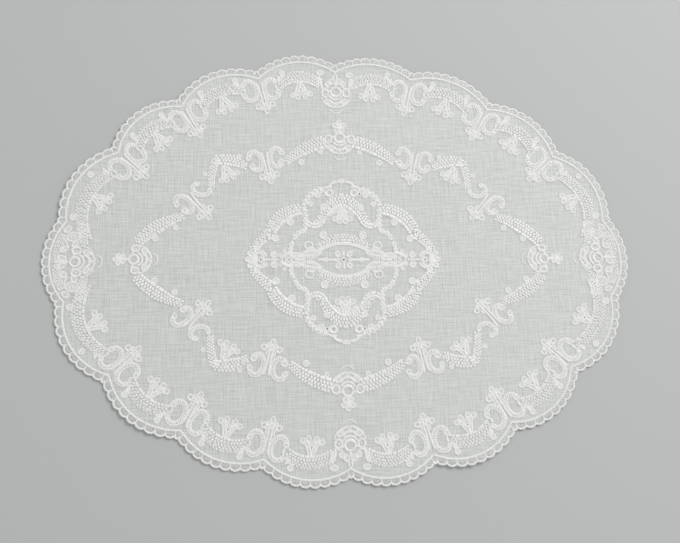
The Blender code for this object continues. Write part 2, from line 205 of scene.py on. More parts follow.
class Work:
    """Stitches and eyelets charted in one plane."""

    def __init__(self, seed: int | np.random.Generator = 0) -> None:
        """Starts an empty chart, whose seed starts its unevenness or goes on with another chart's."""
        self.chance = np.random.default_rng(seed)
        self.rows: list[np.ndarray] = []  # from x, y, to x, y, thread width, crown
        self.holes: list[tuple[float, ...]] = []  # x, y, half width, half height

    def lay(
        self, starts: np.ndarray, ends: np.ndarray, width: float = THREAD, crown: float | None = None
    ) -> None:
        """Lays one stitch from each start to each end.

        Args:
            starts: where the stitches start.
            ends: where they end.
            width: the thread's width.
            crown: their height at the middle, if it isn't what their length gives.
        """
        lengths = np.linalg.norm(ends - starts, axis=1)
        keep = lengths > SHORTEST
        starts, ends, lengths = starts[keep], ends[keep], lengths[keep]
        if crown is None:
            crown = np.minimum(CROWN_LEAST + CROWN_PER_WIDTH * lengths, CROWN_MOST)
        count = len(starts)
        uneven = self.chance.normal(0, STRAY, (count, 4))
        sizes = np.stack([np.full(count, width), np.full(count, 1.0) * crown], axis=1)
        sizes *= self.chance.normal(1, SIZE_STRAY, (count, 2))
        self.rows.append(np.hstack([np.hstack([starts, ends]) + uneven, sizes]))

    def table(self) -> np.ndarray:
        """All stitches, one a row."""
        return np.vstack(self.rows) if self.rows else np.zeros((0, 6))

    def placed(self, across: Pair, up: Pair, origin: Pair) -> "Work":
        """A copy of the work in another place.

        Args:
            across: where the chart's first axis points, with its scale.
            up: where its second axis points, with its scale.
            origin: where its zero lies.

        Returns:
            The copy.
        """
        copy, turn = Work(), np.array([across, up])
        rows = self.table().copy()
        rows[:, 0:2] = rows[:, 0:2] @ turn + origin
        rows[:, 2:4] = rows[:, 2:4] @ turn + origin
        copy.rows = [rows]
        order = 1 if abs(turn[0, 0]) >= abs(turn[0, 1]) else -1
        copy.holes = [(*(np.array(hole[:2]) @ turn + origin), *hole[2:][::order]) for hole in self.holes]
        return copy

    def mirrored(self, axis: Axis) -> "Work":
        """Mirrors the work.

        Args:
            axis: what it is mirrored about.

        Returns:
            The work with its mirror images.
        """
        whole = Work()
        for across, up in axis.value:
            whole.join(self.placed((across, 0), (0, up), (0, 0)))
        return whole

    def join(self, other: "Work") -> None:
        """Takes another chart's stitches and eyelets in."""
        self.rows += other.rows
        self.holes += other.holes


# --- Motifs ---

BAND_POINTS = 25  # along each side of a band
TAPER_LEAST = 0.12  # how narrow a satin line gets at its ends, as a share of its width squared
LADDER_GAP = 0.16  # of a ladder's paired threads either side of their middle, in steps
LOW_CROWN = 0.12  # of a petal's filling, which lies lower than its rim
CUP_CROWN = 0.16


class Motif:
    """Anything that can be sewn, in its own frame: x across it, and y the way it faces."""

    def parts(self) -> "tuple[Motif, ...]":
        """The simpler motifs that it is made of."""
        return ()

    def sew(self, work: Work) -> None:
        """Adds its stitches to the chart."""
        for part in self.parts():
            part.sew(work)


@dataclass(frozen=True)
class Satin(Motif):
    """A line of satin stitch: threads laid side by side across a path."""

    points: Path
    half_width: float = 0.6
    closed: bool = False
    slant: float = 0.35  # how far each stitch leans along the path, as a share of its half width

    def sew(self, work: Work) -> None:
        """Adds its stitches to the chart.

        Args:
            work: the chart.
        """
        route = Route(smooth(self.points, self.closed), SATIN_PITCH)
        half = np.full(route.count, self.half_width * STITCH_SPREAD)
        if not self.closed:
            to_end = np.minimum(route.shares, 1 - route.shares) * route.length
            half *= np.sqrt(np.clip(to_end / self.half_width, TAPER_LEAST, 1))
        middle, lean = route.at(route.shares), route.leans(route.shares, self.slant)
        work.lay(middle - lean * half[:, None], middle + lean * half[:, None])


@dataclass(frozen=True)
class Line(Motif):
    """A line of satin from one point to another, bowed to its left."""

    start: Pair
    end: Pair
    bow: float = 0.0
    half_width: float = 0.6

    def parts(self) -> tuple[Motif, ...]:
        """The satin."""
        return (Satin(bowed(self.start, self.end, self.bow), self.half_width),)


@dataclass(frozen=True)
class Ring(Motif):
    """A ring of satin stitch, round or oval."""

    centre: Pair
    radii: Pair
    half_width: float = 0.55
    hole: bool = False  # an eyelet, with the lawn cut away inside
    slant: float = 0.1
    cut: float = 0.8  # how far inside the ring's middle the hole starts, in half widths
    least_hole: float = 0.3

    def sew(self, work: Work) -> None:
        """Adds its stitches to the chart, and its eyelet.

        Args:
            work: the chart.
        """
        points = arc(self.radii, 0.0, 360.0, centre=self.centre)[:-1]
        Satin(points, self.half_width, closed=True, slant=self.slant).sew(work)
        if self.hole:
            inner = [max(r - self.cut * self.half_width, self.least_hole) for r in self.radii]
            work.holes.append((*self.centre, *inner))


@dataclass(frozen=True)
class Dot(Motif):
    """A padded dot or filling: satin threads side by side over a rounded shape."""

    centre: Pair
    radii: Pair  # along the threads and across them
    turn: float = 0.0  # degrees from the first axis to the threads' run
    crown: float = 0.28
    pitch: float = SATIN_PITCH

    def sew(self, work: Work) -> None:
        """Adds its stitches to the chart.

        Args:
            work: the chart.
        """
        run = facing(self.turn)
        count = max(int(round(2 * self.radii[1] / self.pitch)), 2)
        steps = (np.arange(count) + 0.5) / count * 2 - 1
        reach = self.radii[0] * np.sqrt(1 - steps**2)
        middle = np.asarray(self.centre) + left_of(run) * (steps * self.radii[1])[:, None]
        work.lay(middle - run * reach[:, None], middle + run * reach[:, None], crown=self.crown)


@dataclass(frozen=True)
class Blade(Motif):
    """A leaf: threads laid across its middle line, widest at its middle and narrow at both ends."""

    start: Pair
    end: Pair
    half_width: float
    bow: float = 0.0
    fullness: float = 0.55  # less makes its ends blunter
    crown: float = 0.26
    slant: float = 0.3

    def sew(self, work: Work) -> None:
        """Adds its stitches to the chart.

        Args:
            work: the chart.
        """
        route = Route(smooth(bowed(self.start, self.end, self.bow)), SATIN_PITCH)
        half = self.half_width * np.sin(np.pi * route.shares) ** self.fullness
        middle, out = route.at(route.shares), route.leans(route.shares, self.slant)
        for sense in (-1, 1):
            work.lay(middle, middle + out * (sense * half)[:, None], crown=self.crown)


class Bars(NamedTuple):
    """One row of bars in a band: between two shares of its width, leaning along it."""

    low: float
    high: float
    lean: float  # how far along the band the upper end stands
    threads: int = 3
    shift: float = 0.0  # of the whole row, in steps


@dataclass(frozen=True)
class Band(Motif):
    """A band of openwork along a bow: rows of bars, each of a few threads."""

    start: Pair
    end: Pair
    bow: float
    half_widths: tuple[float, float, float]  # at its start, middle and end
    rows: tuple[Bars, ...]
    pitch: float = 2.0
    spread: float = 0.42  # between the threads of one bar
    thread: float = THREAD
    wander: float = 0.09  # of the bars along the band, in steps

    def sew(self, work: Work) -> None:
        """Adds its stitches to the chart.

        Args:
            work: the chart.
        """
        spine = Route(smooth(bowed(self.start, self.end, self.bow)), self.pitch)
        shares = np.linspace(0, 1, BAND_POINTS)
        half = np.interp(shares, (0, 0.5, 1), self.half_widths)[:, None]
        middle, out = spine.at(shares), spine.leans(shares)
        inner, outer = Route(middle - out * half, self.pitch), Route(middle + out * half, self.pitch)
        for low, high, lean, threads, shift in self.rows:
            places = (np.arange(spine.count) + 0.5 + shift) / spine.count
            places = places[places < 1]
            places = places + work.chance.normal(0, self.wander, len(places)) / spine.count
            for thread in range(threads):
                aside = (thread - (threads - 1) / 2) * self.spread / spine.length
                ends = []
                for level, sense in ((low, -0.5), (high, 0.5)):
                    at = places + aside + sense * lean / spine.length
                    ends.append(inner.at(at) * (1 - level) + outer.at(at) * level)
                work.lay(*ends, self.thread)


@dataclass(frozen=True)
class Put(Motif):
    """A motif set down in a chart."""

    motif: Motif
    x: float
    y: float
    heading: float = 90.0  # degrees from the chart's first axis to the way that the motif faces
    size: float = 1.0
    flip: bool = False

    def sew(self, work: Work) -> None:
        """Adds its stitches to the chart.

        Args:
            work: the chart.
        """
        own = Work(work.chance)
        self.motif.sew(own)
        up = self.size * facing(self.heading)
        across = left_of(up) * (1 if self.flip else -1)
        work.join(own.placed(across, up, (self.x, self.y)))


def flipped(*parts: Motif) -> tuple[Motif, ...]:
    """The parts' mirror images across the motif."""
    return tuple(Put(part, 0.0, 0.0, flip=True) for part in parts)


def paired(*parts: Motif) -> tuple[Motif, ...]:
    """The parts and their mirror images across the motif."""
    return parts + flipped(*parts)


@dataclass(frozen=True)
class Ladder(Motif):
    """Short threads laid between two lines that run side by side."""

    first: Path
    second: Path
    pitch: float

    def sew(self, work: Work) -> None:
        """Adds its stitches to the chart.

        Args:
            work: the chart.
        """
        one, other = Route(smooth(self.first), self.pitch), Route(smooth(self.second), self.pitch)
        for aside in (-LADDER_GAP, LADDER_GAP):
            shares = one.shares + aside / one.count
            work.lay(one.at(shares), other.at(shares))


@dataclass(frozen=True)
class Braid(Motif):
    """Two lines of satin that wind round each other along a bow."""

    start: Pair
    end: Pair
    bow: float
    reach: float  # of each line from the middle
    wave: float = 7.0  # one whole winding
    wave_points: int = 8
    half_width: float = 0.54
    rungs: float = 1.7  # from one rung of its ladder to the next

    def parts(self) -> tuple[Motif, ...]:
        """The two lines and the ladder between them.

        Returns:
            The simpler motifs.
        """
        route = Route(smooth(bowed(self.start, self.end, self.bow)), self.wave / self.wave_points)
        crossings = max(round(2 * route.length / self.wave), 1)
        swing = self.reach * np.cos(math.pi * crossings * route.shares)[:, None]
        middle, out = route.at(route.shares), route.leans(route.shares)
        lines = [middle + sense * swing * out for sense in (-1, 1)]
        return (*(Satin(line, self.half_width) for line in lines), Ladder(*lines, self.rungs))


@dataclass(frozen=True)
class Lobe(Motif):
    """A rounded petal: a ring of satin round a low filling, which leaves a soft dent in its middle."""

    wide: float = 2.1
    tall: float = 2.5
    rim: float = 0.62
    pitch: float = 0.8  # of its filling
    inset: float = 1.25  # from its outside to the middle of its rim, in rims

    def parts(self) -> tuple[Motif, ...]:
        """The filling and the ring."""
        inside = (self.wide - self.inset * self.rim, self.tall - self.inset * self.rim)
        return (Dot((0.0, 0.0), inside, 0.0, LOW_CROWN, self.pitch), Ring((0.0, 0.0), inside, self.rim))


@dataclass(frozen=True)
class Scroll(Motif):
    """A C-scroll: two lines of satin with a ladder between, and a petal curled in at each end."""

    wide: float
    tall: float
    gap: float = 2.5  # between the middles of its two lines
    start: float = 136.0
    sweep: float = -286.0
    late: float = 16.0  # how far after the outer line the inner one starts, in degrees
    short: float = 26.0  # how much less far it sweeps
    half_width: float = 0.58
    rungs: float = 2.0
    head: float = 1.9  # the radius of the petal at its head
    foot: float = 2.2
    tall_petals: float = 1.15  # a petal's length over its width
    closed: bool = False  # whether a fine line closes its eye

    def parts(self) -> tuple[Motif, ...]:
        """The two lines, the ladder, the petals at the ends and the line that closes the eye.

        Returns:
            The simpler motifs.
        """
        outer = arc((self.wide, self.tall), self.start, self.sweep)
        radii = (self.wide - self.gap, self.tall - self.gap)
        inner = arc(radii, self.start - self.late, self.sweep + self.short)
        # The petals' middles stand off the outer line's ends by these shares of their radii.
        head = (outer[0][0] + 0.5 * self.head, outer[0][1] - 0.6 * self.head)
        foot = (outer[-1][0] + 0.7 * self.foot, outer[-1][1] + 0.5 * self.foot)
        parts = (
            Satin(outer, self.half_width),
            Satin(inner, 0.75 * self.half_width),
            Ladder(outer, inner, self.rungs),
            Put(Lobe(self.head, self.tall_petals * self.head), *head, 30.0),
            Put(Lobe(self.foot, self.tall_petals * self.foot), *foot, -40.0),
        )
        if not self.closed:
            return parts
        return (*parts, Line((head[0], head[1] - self.head), (foot[0], foot[1] + self.foot), 0.8, 0.85))


@dataclass(frozen=True)
class OpenLeaf(Motif):
    """A leaf drawn with its two sides and its vein."""

    length: float
    half_width: float
    line: float = 0.45
    vein_line: float = 0.8  # the vein's width over the sides'
    vein_gap: float = 0.6  # from the vein's ends to the leaf's
    rungs: float = 1.3

    def parts(self) -> tuple[Motif, ...]:
        """The sides, the vein and the ladders between them.

        Returns:
            The simpler motifs.
        """
        tip = (0.0, self.length)
        sides = [bowed((0.0, 0.0), tip, sense * self.half_width) for sense in (1, -1)]
        vein = bowed((0.0, self.vein_gap), (0.0, self.length - self.vein_gap), 0.0)
        return (
            *(Satin(side, self.line) for side in sides),
            Satin(vein, self.vein_line * self.line),
            *(Ladder(side, vein, self.rungs) for side in sides),
        )


@dataclass(frozen=True)
class Trefoil(Motif):
    """A three-lobed flower on two stems with a slit between them."""

    slit: float = 7.6  # how far the slit runs back from the stems' start
    stem: float = 8.6
    apart: float = 1.5
    aside: float = 5.0
    reach: float = 14.4  # to the middle of its far lobe

    def parts(self) -> tuple[Motif, ...]:
        """The stems, what ends the slit and the lobes.

        Returns:
            The simpler motifs.
        """
        return (
            *paired(
                Line((self.apart + 0.5, -self.slit), (self.apart - 0.2, self.stem), 0.5, 0.8),
                Line((self.apart + 1.3, 4.6), (self.apart + 1.7, self.stem), 0.3, 0.6),
                Put(Lobe(2.3, 2.7, 0.6, 1.6), self.aside, self.stem + 1.6, 50.0),
                Put(Lobe(1.7, 2.2), 0.52 * self.aside, self.stem + 3.2, 75.0),
                Line((1.0, self.stem), (1.3, self.reach - 2.0), 0.3, 0.8),
            ),
            Line((-2.6, self.stem), (2.6, self.stem), 0.5, 0.8),
            Put(Lobe(2.3, 2.8, 0.6, 1.6), 0.0, self.reach),
        )


@dataclass(frozen=True)
class Floret(Motif):
    """A floret on a narrow neck: an eyelet between two legs, each of which ends in two petals."""

    above: float = 5.4
    below: float = 4.0
    foot: float = 4.9
    leg: float = 1.9

    def parts(self) -> tuple[Motif, ...]:
        """The neck, the legs, the bar across them, the petals and the eyelet.

        Returns:
            The simpler motifs.
        """
        return (
            *paired(
                Blade((0.7, -self.above), (self.foot + 0.2, self.below), self.leg, 0.9, 0.35),
                Blade((1.9, -0.8), (0.55 * self.foot, self.below + 0.4), 1.3, 0.3, 0.4),
                Put(Lobe(2.3, 2.6, 0.6, 1.0), self.foot + 1.1, self.below - 0.2, 30.0),
                Put(Lobe(2.2, 2.4, 0.6, 1.0), 0.52 * self.foot, self.below + 1.5, 75.0),
            ),
            Line((0.0, -self.above), (0.0, -1.9), 0.0, 0.9),
            Dot((0.0, 3.0), (2.8, 1.5), 0.0, CUP_CROWN, 0.7),
            Ring((0.0, 0.0), (1.05, 1.25), hole=True),
        )


@dataclass(frozen=True)
class Posy(Motif):
    """A full flower: petals set close round a padded middle."""

    radius: float
    petal: float
    petals: int = 5

    def parts(self) -> tuple[Motif, ...]:
        """The middle and the petals.

        Returns:
            The simpler motifs.
        """
        headings = [90.0 + 360.0 / self.petals * i for i in range(self.petals)]
        petal = Lobe(self.petal, 1.1 * self.petal)
        around = (Put(petal, *(self.radius * facing(heading)), heading) for heading in headings)
        return (Dot((0.0, 0.0), (self.petal, self.petal)), *around)


@dataclass(frozen=True)
class Rosette(Motif):
    """A ring with a loop on each side, cups of petals below it and fine crescents round them."""

    ring: float = 3.5
    loop_aside: float = 7.5
    loop: float = 2.3
    petals_at: float = 5.8
    reach: float = 12.0
    crescent: float = 10.3

    def parts(self) -> tuple[Motif, ...]:
        """The ring, the loops, the cups, the tip, the crescents and the fine line below them.

        Returns:
            The simpler motifs.
        """
        middle = (self.petals_at + self.reach) / 2
        return (
            Ring((0.0, 0.0), (self.ring, self.ring), 0.8),
            Satin(arc((self.ring - 0.2, self.ring - 0.2), 30.0, 120.0), 1.0),
            Satin(arc((5.4, self.petals_at), 28.0, 124.0), 0.75),
            Satin(arc((5.8, middle), 40.0, 100.0), 0.65),
            *paired(
                Ring((self.loop_aside, 1.0), (self.loop, self.loop + 0.6), 0.8),
                Line((self.ring, -1.0), (self.loop_aside - 1.6, -1.6), 0.6, 0.7),
                Line((self.loop_aside, 0.0), (self.loop_aside - 0.4, 2.4), 0.0, 0.4),
                Put(Lobe(2.4, 3.0, 0.6), 5.9, self.petals_at + 1.6, -35.0),
                Line((6.4, self.petals_at + 3.0), (0.3, self.reach), -0.7, 0.7),
                Line((3.4, middle - 1.6), (2.2, middle + 1.0), 0.2, 0.6),
                Satin(arc((self.crescent, self.crescent), 8.0, 58.0, 0.97, (0.0, 2.4)), 0.48),
                Satin(arc((4.6, 4.4), 22.0, 68.0, 1.0, (0.0, self.reach)), 0.42),
            ),
            Blade((0.0, middle - 1.2), (0.0, self.reach), 1.5, 0.0, 0.4),
        )


@dataclass(frozen=True)
class Bud(Motif):
    """A round bud: a broad ring of satin over a low filling."""

    radius: float
    rim: float = 0.26  # in radii
    boss: float = 0.3
    boss_crown: float = 0.34

    def parts(self) -> tuple[Motif, ...]:
        """The ring, its filling and a raised middle."""
        boss = self.boss * self.radius
        ring = Lobe(self.radius, self.radius, self.rim * self.radius)
        return (ring, Dot((0.0, 0.0), (boss, boss), 90.0, self.boss_crown))


def sewn(motifs: tuple[Motif, ...], seed: int, axis: Axis = Axis.NONE) -> Work:
    """Sews a chart and mirrors it.

    Args:
        motifs: what the chart holds.
        seed: starts its unevenness.
        axis: what it is mirrored about.

    Returns:
        The work.
    """
    work = Work(seed)
    for motif in motifs:
        motif.sew(work)
    return work.mirrored(axis)


# --- The edge ---


class Cusp(NamedTuple):
    """Where two scallops meet, listed clockwise from the top."""

    x: float
    y: float
    meeting: Meeting
    rise: float  # of the scallop that starts here, from its chord to the cord's middle


CUSPS = (
    Cusp(-1.9, 137.3, ROSETTE, 8.9),
    Cusp(52.9, 131.8, SCROLLS, 9.9),
    Cusp(107.6, 109.5, SCROLLS, 10.1),
    Cusp(152.9, 73.6, SCROLLS, 10.8),
    Cusp(184.5, 25.7, SIDE, 10.0),
    Cusp(184.8, -28.8, SIDE, 11.4),
    Cusp(151.9, -76.7, SCROLLS, 11.4),
    Cusp(107.8, -112.5, SCROLLS, 11.2),
    Cusp(54.3, -131.9, SCROLLS, 10.0),
    Cusp(0.2, -139.1, ROSETTE, 10.0),
    Cusp(-55.3, -131.7, SCROLLS, 9.7),
    Cusp(-107.6, -112.1, SCROLLS, 10.4),
    Cusp(-153.5, -76.2, SCROLLS, 10.8),
    Cusp(-183.8, -28.1, SIDE, 10.2),
    Cusp(-184.2, 26.4, SIDE, 10.9),
    Cusp(-151.7, 75.3, SCROLLS, 11.0),
    Cusp(-109.7, 109.6, SCROLLS, 11.6),
    Cusp(-56.5, 131.5, SCROLLS, 10.2),
)
USUAL_CHORD = 58.0  # the border is charted on a scallop of this chord
USUAL_RISE = 9.8  # and this rise
FOLLOW = 1.35  # how far the motifs move out for each millimetre more that the arc rises


class Scallop:
    """One arc of the edge, from one cusp to the next, and the frame its motifs are charted in."""

    def __init__(self, start: Cusp, end: Cusp) -> None:
        """Sets the arc out.

        Args:
            start: the cusp it starts from.
            end: the cusp it ends at.
        """
        self.rise, self.meetings = start.rise, (start.meeting, end.meeting)
        first, last = np.array(start[:2]), np.array(end[:2])
        self.chord = float(np.linalg.norm(last - first))
        self.middle = (first + last) / 2
        self.along = (last - first) / self.chord
        self.outwards = left_of(self.along)
        self.set_out = FOLLOW * (self.rise - USUAL_RISE)
        self.radius = (self.chord**2 / 4 + self.rise**2) / (2 * self.rise)
        self.half_angle = math.asin(self.chord / 2 / self.radius)

    def on_arc(self, share: float, offset: float = 0.0) -> np.ndarray:
        """A point on the arc or beside it.

        Args:
            share: how far along the arc's length it lies.
            offset: how far outside the arc it lies.

        Returns:
            Its x and y.
        """
        angle = self.half_angle * (2 * share - 1)
        reach = self.radius + offset
        centre = self.middle + self.outwards * (self.rise - self.radius)
        return centre + self.along * (reach * math.sin(angle)) + self.outwards * (reach * math.cos(angle))

    def frame(self, flip: bool) -> tuple[np.ndarray, np.ndarray, np.ndarray]:
        """The scallop's own axes and origin, with the first axis turned round if asked."""
        across = self.along * (self.chord / USUAL_CHORD) * (-1 if flip else 1)
        return across, self.outwards, self.middle + self.set_out * self.outwards


SCALLOPS = tuple(Scallop(start, CUSPS[(i + 1) % len(CUSPS)]) for i, start in enumerate(CUSPS))


@dataclass(frozen=True)
class Edge:
    """The round of picots and the cord inside it."""

    picots: int = 10  # on one scallop
    valley: float = 3.5  # from the cord's middle to the dip between two picots
    crest: float = 5.3  # from the cord's middle to a picot's crown
    roundness: float = 0.55  # 1 is a sine, and less makes the loop squarer
    rail_steps: int = 20  # of a line that follows one scallop
    box_steps: int = 4
    hem: float = 0.45  # from the picots' outside to the lawn's cut edge
    thread_line: float = 0.75  # from the picots' outside to the middle of their thread
    picot_half_width: float = 0.75
    cord_half_width: float = 0.85

    def dips(self) -> list[float]:
        """The shares of a scallop's length at which two of its picots meet."""
        return [(i + 0.5) / self.picots for i in range(self.picots)]

    def loops(self, steps: int, inset: float) -> list[np.ndarray]:
        """Each picot's outline, from one dip to the next.

        Args:
            steps: straight runs along one picot.
            inset: how far inside the outermost line it lies.

        Returns:
            One array of points for each picot.
        """
        dips = [scallop.on_arc(dip, self.valley - inset) for scallop in SCALLOPS for dip in self.dips()]
        shares = np.arange(steps + 1) / steps
        swell = np.sin(np.pi * shares) ** self.roundness * (self.crest - self.valley)
        found = []
        for dip, end in zip(dips, dips[1:] + dips[:1]):
            run = end - dip
            outwards = left_of(run) / np.linalg.norm(run)
            found.append(dip + run * shares[:, None] + outwards * swell[:, None])
        return found

    def outline(self, steps: int, inset: float) -> np.ndarray:
        """The whole round of picots as one closed line."""
        return np.vstack([loop[:-1] for loop in self.loops(steps, inset)])

    def rail(self, offset: float) -> np.ndarray:
        """A closed line that follows the cord at this distance outside its middle."""
        shares = [(i + 1) / self.rail_steps for i in range(self.rail_steps - 1)]
        return np.array([scallop.on_arc(share, offset) for scallop in SCALLOPS for share in shares])

    def middle(self) -> np.ndarray:
        """The middle of the outline's box, which the doily's frame starts from."""
        outline = self.outline(self.box_steps, 0.0)
        return (outline.min(axis=0) + outline.max(axis=0)) / 2


EDGE = Edge()
MIDDLE = EDGE.middle()


# --- How the doily lies ---


class Ripple(NamedTuple):
    """Waves round the cloth's lifted edge."""

    height: float  # as a share of the lift
    count: int
    phase: float


@dataclass(frozen=True)
class Lie:
    """The heights of the cloth above the floor, and its slight pull out of true."""

    height: float = 0.7
    least_height: float = 0.42
    waves: float = 0.12
    edge_lift: float = 1.0
    lifted_from: float = 0.86  # of the way out to the edge
    most_lift: float = 1.15
    usual_lift: float = 0.55
    ripples: tuple[Ripple, ...] = (Ripple(0.3, 5, 0.7), Ripple(0.15, 11, 2.1))
    pull: float = 0.16
    half_length: float = 199.0
    half_width: float = 150.0
    first_wave: float = 45.0
    next_wave: float = 14.0  # how much longer each wave is than the one before
    wave_turn: float = 1.6
    rows: np.ndarray = field(default_factory=lambda: np.random.default_rng(SEED).uniform(-1, 1, (7, 4)))

    def waviness(self, x: np.ndarray, y: np.ndarray, part: int) -> np.ndarray:
        """A smooth unevenness, between about -3 and 3.

        Args:
            x: the places' first coordinates.
            y: their second ones.
            part: which three of the four random columns it draws on.

        Returns:
            One value for each place.
        """
        total = np.zeros_like(x)
        for i, (east, north, phase) in enumerate(np.roll(self.rows, part, axis=1)[:, :3]):
            length = self.first_wave + self.next_wave * i
            total += np.sin((east * x + north * y) / length * self.wave_turn + phase * np.pi * (part + 1))
        return total

    def level(self, x: np.ndarray, y: np.ndarray) -> np.ndarray:
        """The height of the lawn's middle plane.

        Args:
            x: the places' first coordinates.
            y: their second ones.

        Returns:
            One height for each place.
        """
        out = np.sqrt((x / self.half_length) ** 2 + (y / self.half_width) ** 2)
        rim = np.clip((out - self.lifted_from) / (1 - self.lifted_from), 0, self.most_lift) ** 2
        around = np.arctan2(y / self.half_width, x / self.half_length)
        lift = self.usual_lift
        for ripple in self.ripples:
            lift = lift + ripple.height * np.sin(ripple.count * around + ripple.phase)
        low = self.height + self.waves * self.waviness(x, y, 0)
        return np.maximum(low, self.least_height) + self.edge_lift * rim * lift

    def pulled(self, points: np.ndarray) -> np.ndarray:
        """The points moved by the cloth's slight pull."""
        x, y = points[:, 0], points[:, 1]
        return points + self.pull * np.stack([self.waviness(x, y, 1), self.waviness(x, y, 2)], axis=1)


LIE = Lie()


# --- Finishes ---


def linear(colour: str) -> tuple[float, float, float, float]:
    """A colour as the shaders want it.

    Args:
        colour: sRGB, as "#RRGGBB".

    Returns:
        Its linear red, green and blue, and an alpha of one.
    """
    parts = [int(colour[i : i + 2], 16) / 255 for i in (1, 3, 5)]
    red, green, blue = (p / 12.92 if p <= 0.04045 else ((p + 0.055) / 1.055) ** 2.4 for p in parts)
    return red, green, blue, 1.0


def add_node(tree: bpy.types.NodeTree, kind: str, settings: dict) -> bpy.types.Node:
    """Adds a shader node with its settings and links.

    Args:
        tree: the node tree.
        kind: the node's type name, without "ShaderNode".
        settings: what its properties, and its inputs by name or number, are set to or fed from.

    Returns:
        The node.
    """
    node = tree.nodes.new("ShaderNode" + kind)
    for key, value in settings.items():
        if isinstance(value, bpy.types.NodeSocket):
            tree.links.new(value, node.inputs[key])
        elif isinstance(key, str) and hasattr(node, key) and key not in node.inputs:
            setattr(node, key, value)
        else:
            node.inputs[key].default_value = value
    return node


def sum_of(tree: bpy.types.NodeTree, *terms: bpy.types.NodeSocket | float) -> bpy.types.NodeSocket:
    """The sum of two terms, or the first two's product with the third added."""
    operation = "ADD" if len(terms) == 2 else "MULTIPLY_ADD"
    return add_node(tree, "Math", {"operation": operation, **dict(enumerate(terms))}).outputs[0]


def bump_of(
    tree: bpy.types.NodeTree, height: bpy.types.NodeSocket, strength: float, depth: float
) -> bpy.types.NodeSocket:
    """The normal that a relief of this height gives, with its strength and its depth in millimetres."""
    return add_node(tree, "Bump", {"Strength": strength, "Distance": depth * MM, "Height": height}).outputs[0]


class Finish:
    """What a surface is made of."""

    name = ""

    def make(self) -> bpy.types.Material:
        """Makes the material.

        Returns:
            The material.
        """
        material = bpy.data.materials.new(self.name)
        material.use_nodes = True
        tree = material.node_tree
        tree.nodes.clear()
        shader = add_node(tree, "BsdfPrincipled", self.surface(tree))
        add_node(tree, "OutputMaterial", {"Surface": shader.outputs[0]})
        return material

    def surface(self, tree: bpy.types.NodeTree) -> dict:
        """Adds what feeds the shader, and says what its inputs are."""
        raise NotImplementedError


@dataclass(frozen=True)
class CottonLawn(Finish):
    """Sheer cotton lawn: bleached, plain-woven of fine single yarns, unglazed.

    Its open weave lets the table through, and yarns of uneven thickness run both ways as
    faint lines.
    """

    name = "cotton_lawn_woven"
    colour: str = "#EBEDE9"
    roughness: float = 0.85
    ior: float = 1.5
    sheen: float = 0.15
    coverage: float = 0.59  # share of the cloth that is yarn
    drawn_coverage: float = 0.5  # inside the picots, where their stitches draw the yarns apart
    yarn: float = 0.45  # the real spacing is 0.32 mm; drawn coarser so that the weave shows close up
    yarn_depth: float = 0.12
    line_across: float = 0.9  # spacing of the thick and thin yarns that can be seen as lines
    line_along: float = 20.0
    line_depth: float = 0.40
    slub_across: float = 0.75
    slub_along: float = 9.0
    slub_depth: float = 0.18
    band_scale: float = math.pi / 10  # of a wave texture that makes one band in each unit

    def surface(self, tree: bpy.types.NodeTree) -> dict:
        """Adds the uneven yarns both ways and the weave, which make the cloth more and less open.

        Args:
            tree: the node tree.

        Returns:
            The inputs, by name.
        """
        place = add_node(tree, "TexCoord", {}).outputs["Object"]
        in_mm = add_node(tree, "VectorMath", {"operation": "SCALE", "Scale": 1 / MM, 0: place}).outputs[0]
        lines = []
        for along, across, depth, detail in (
            (self.line_along, self.line_across, self.line_depth, 2.0),
            (self.slub_along, self.slub_across, self.slub_depth, 1.0),
        ):
            for spacing in ((along, across, 1.0), (across, along, 1.0)):
                scaled = add_node(tree, "VectorMath", {"operation": "DIVIDE", 0: in_mm, 1: spacing})
                noise = {"noise_dimensions": "2D", "Scale": 1.0, "Detail": detail, "Roughness": 0.6}
                streaks = add_node(tree, "TexNoise", {**noise, "Vector": scaled.outputs[0]}).outputs[0]
                lines.append(sum_of(tree, streaks, depth, -depth / 2))
        bands = {"Scale": self.band_scale / self.yarn, "Distortion": 0.6, "Detail": 1.0, "Vector": in_mm}
        for axis in ("X", "Y"):
            weave = add_node(tree, "TexWave", {"wave_type": "BANDS", "bands_direction": axis, **bands})
            lines.append(sum_of(tree, weave.outputs["Fac"], self.yarn_depth, -self.yarn_depth / 2))
        total = lines[0]
        for line in lines[1:]:
            total = sum_of(tree, total, line)
        drawn = add_node(tree, "Attribute", {"attribute_name": "drawn"}).outputs["Fac"]
        share = sum_of(tree, drawn, self.drawn_coverage - self.coverage, self.coverage)
        cover = add_node(tree, "Math", {"operation": "ADD", "use_clamp": True, 0: total, 1: share}).outputs[0]
        return {
            "Base Color": linear(self.colour),
            "Roughness": self.roughness,
            "IOR": self.ior,
            "Sheen Weight": self.sheen,
            "Alpha": cover,
            "Normal": bump_of(tree, cover, 0.25, 0.1),
        }


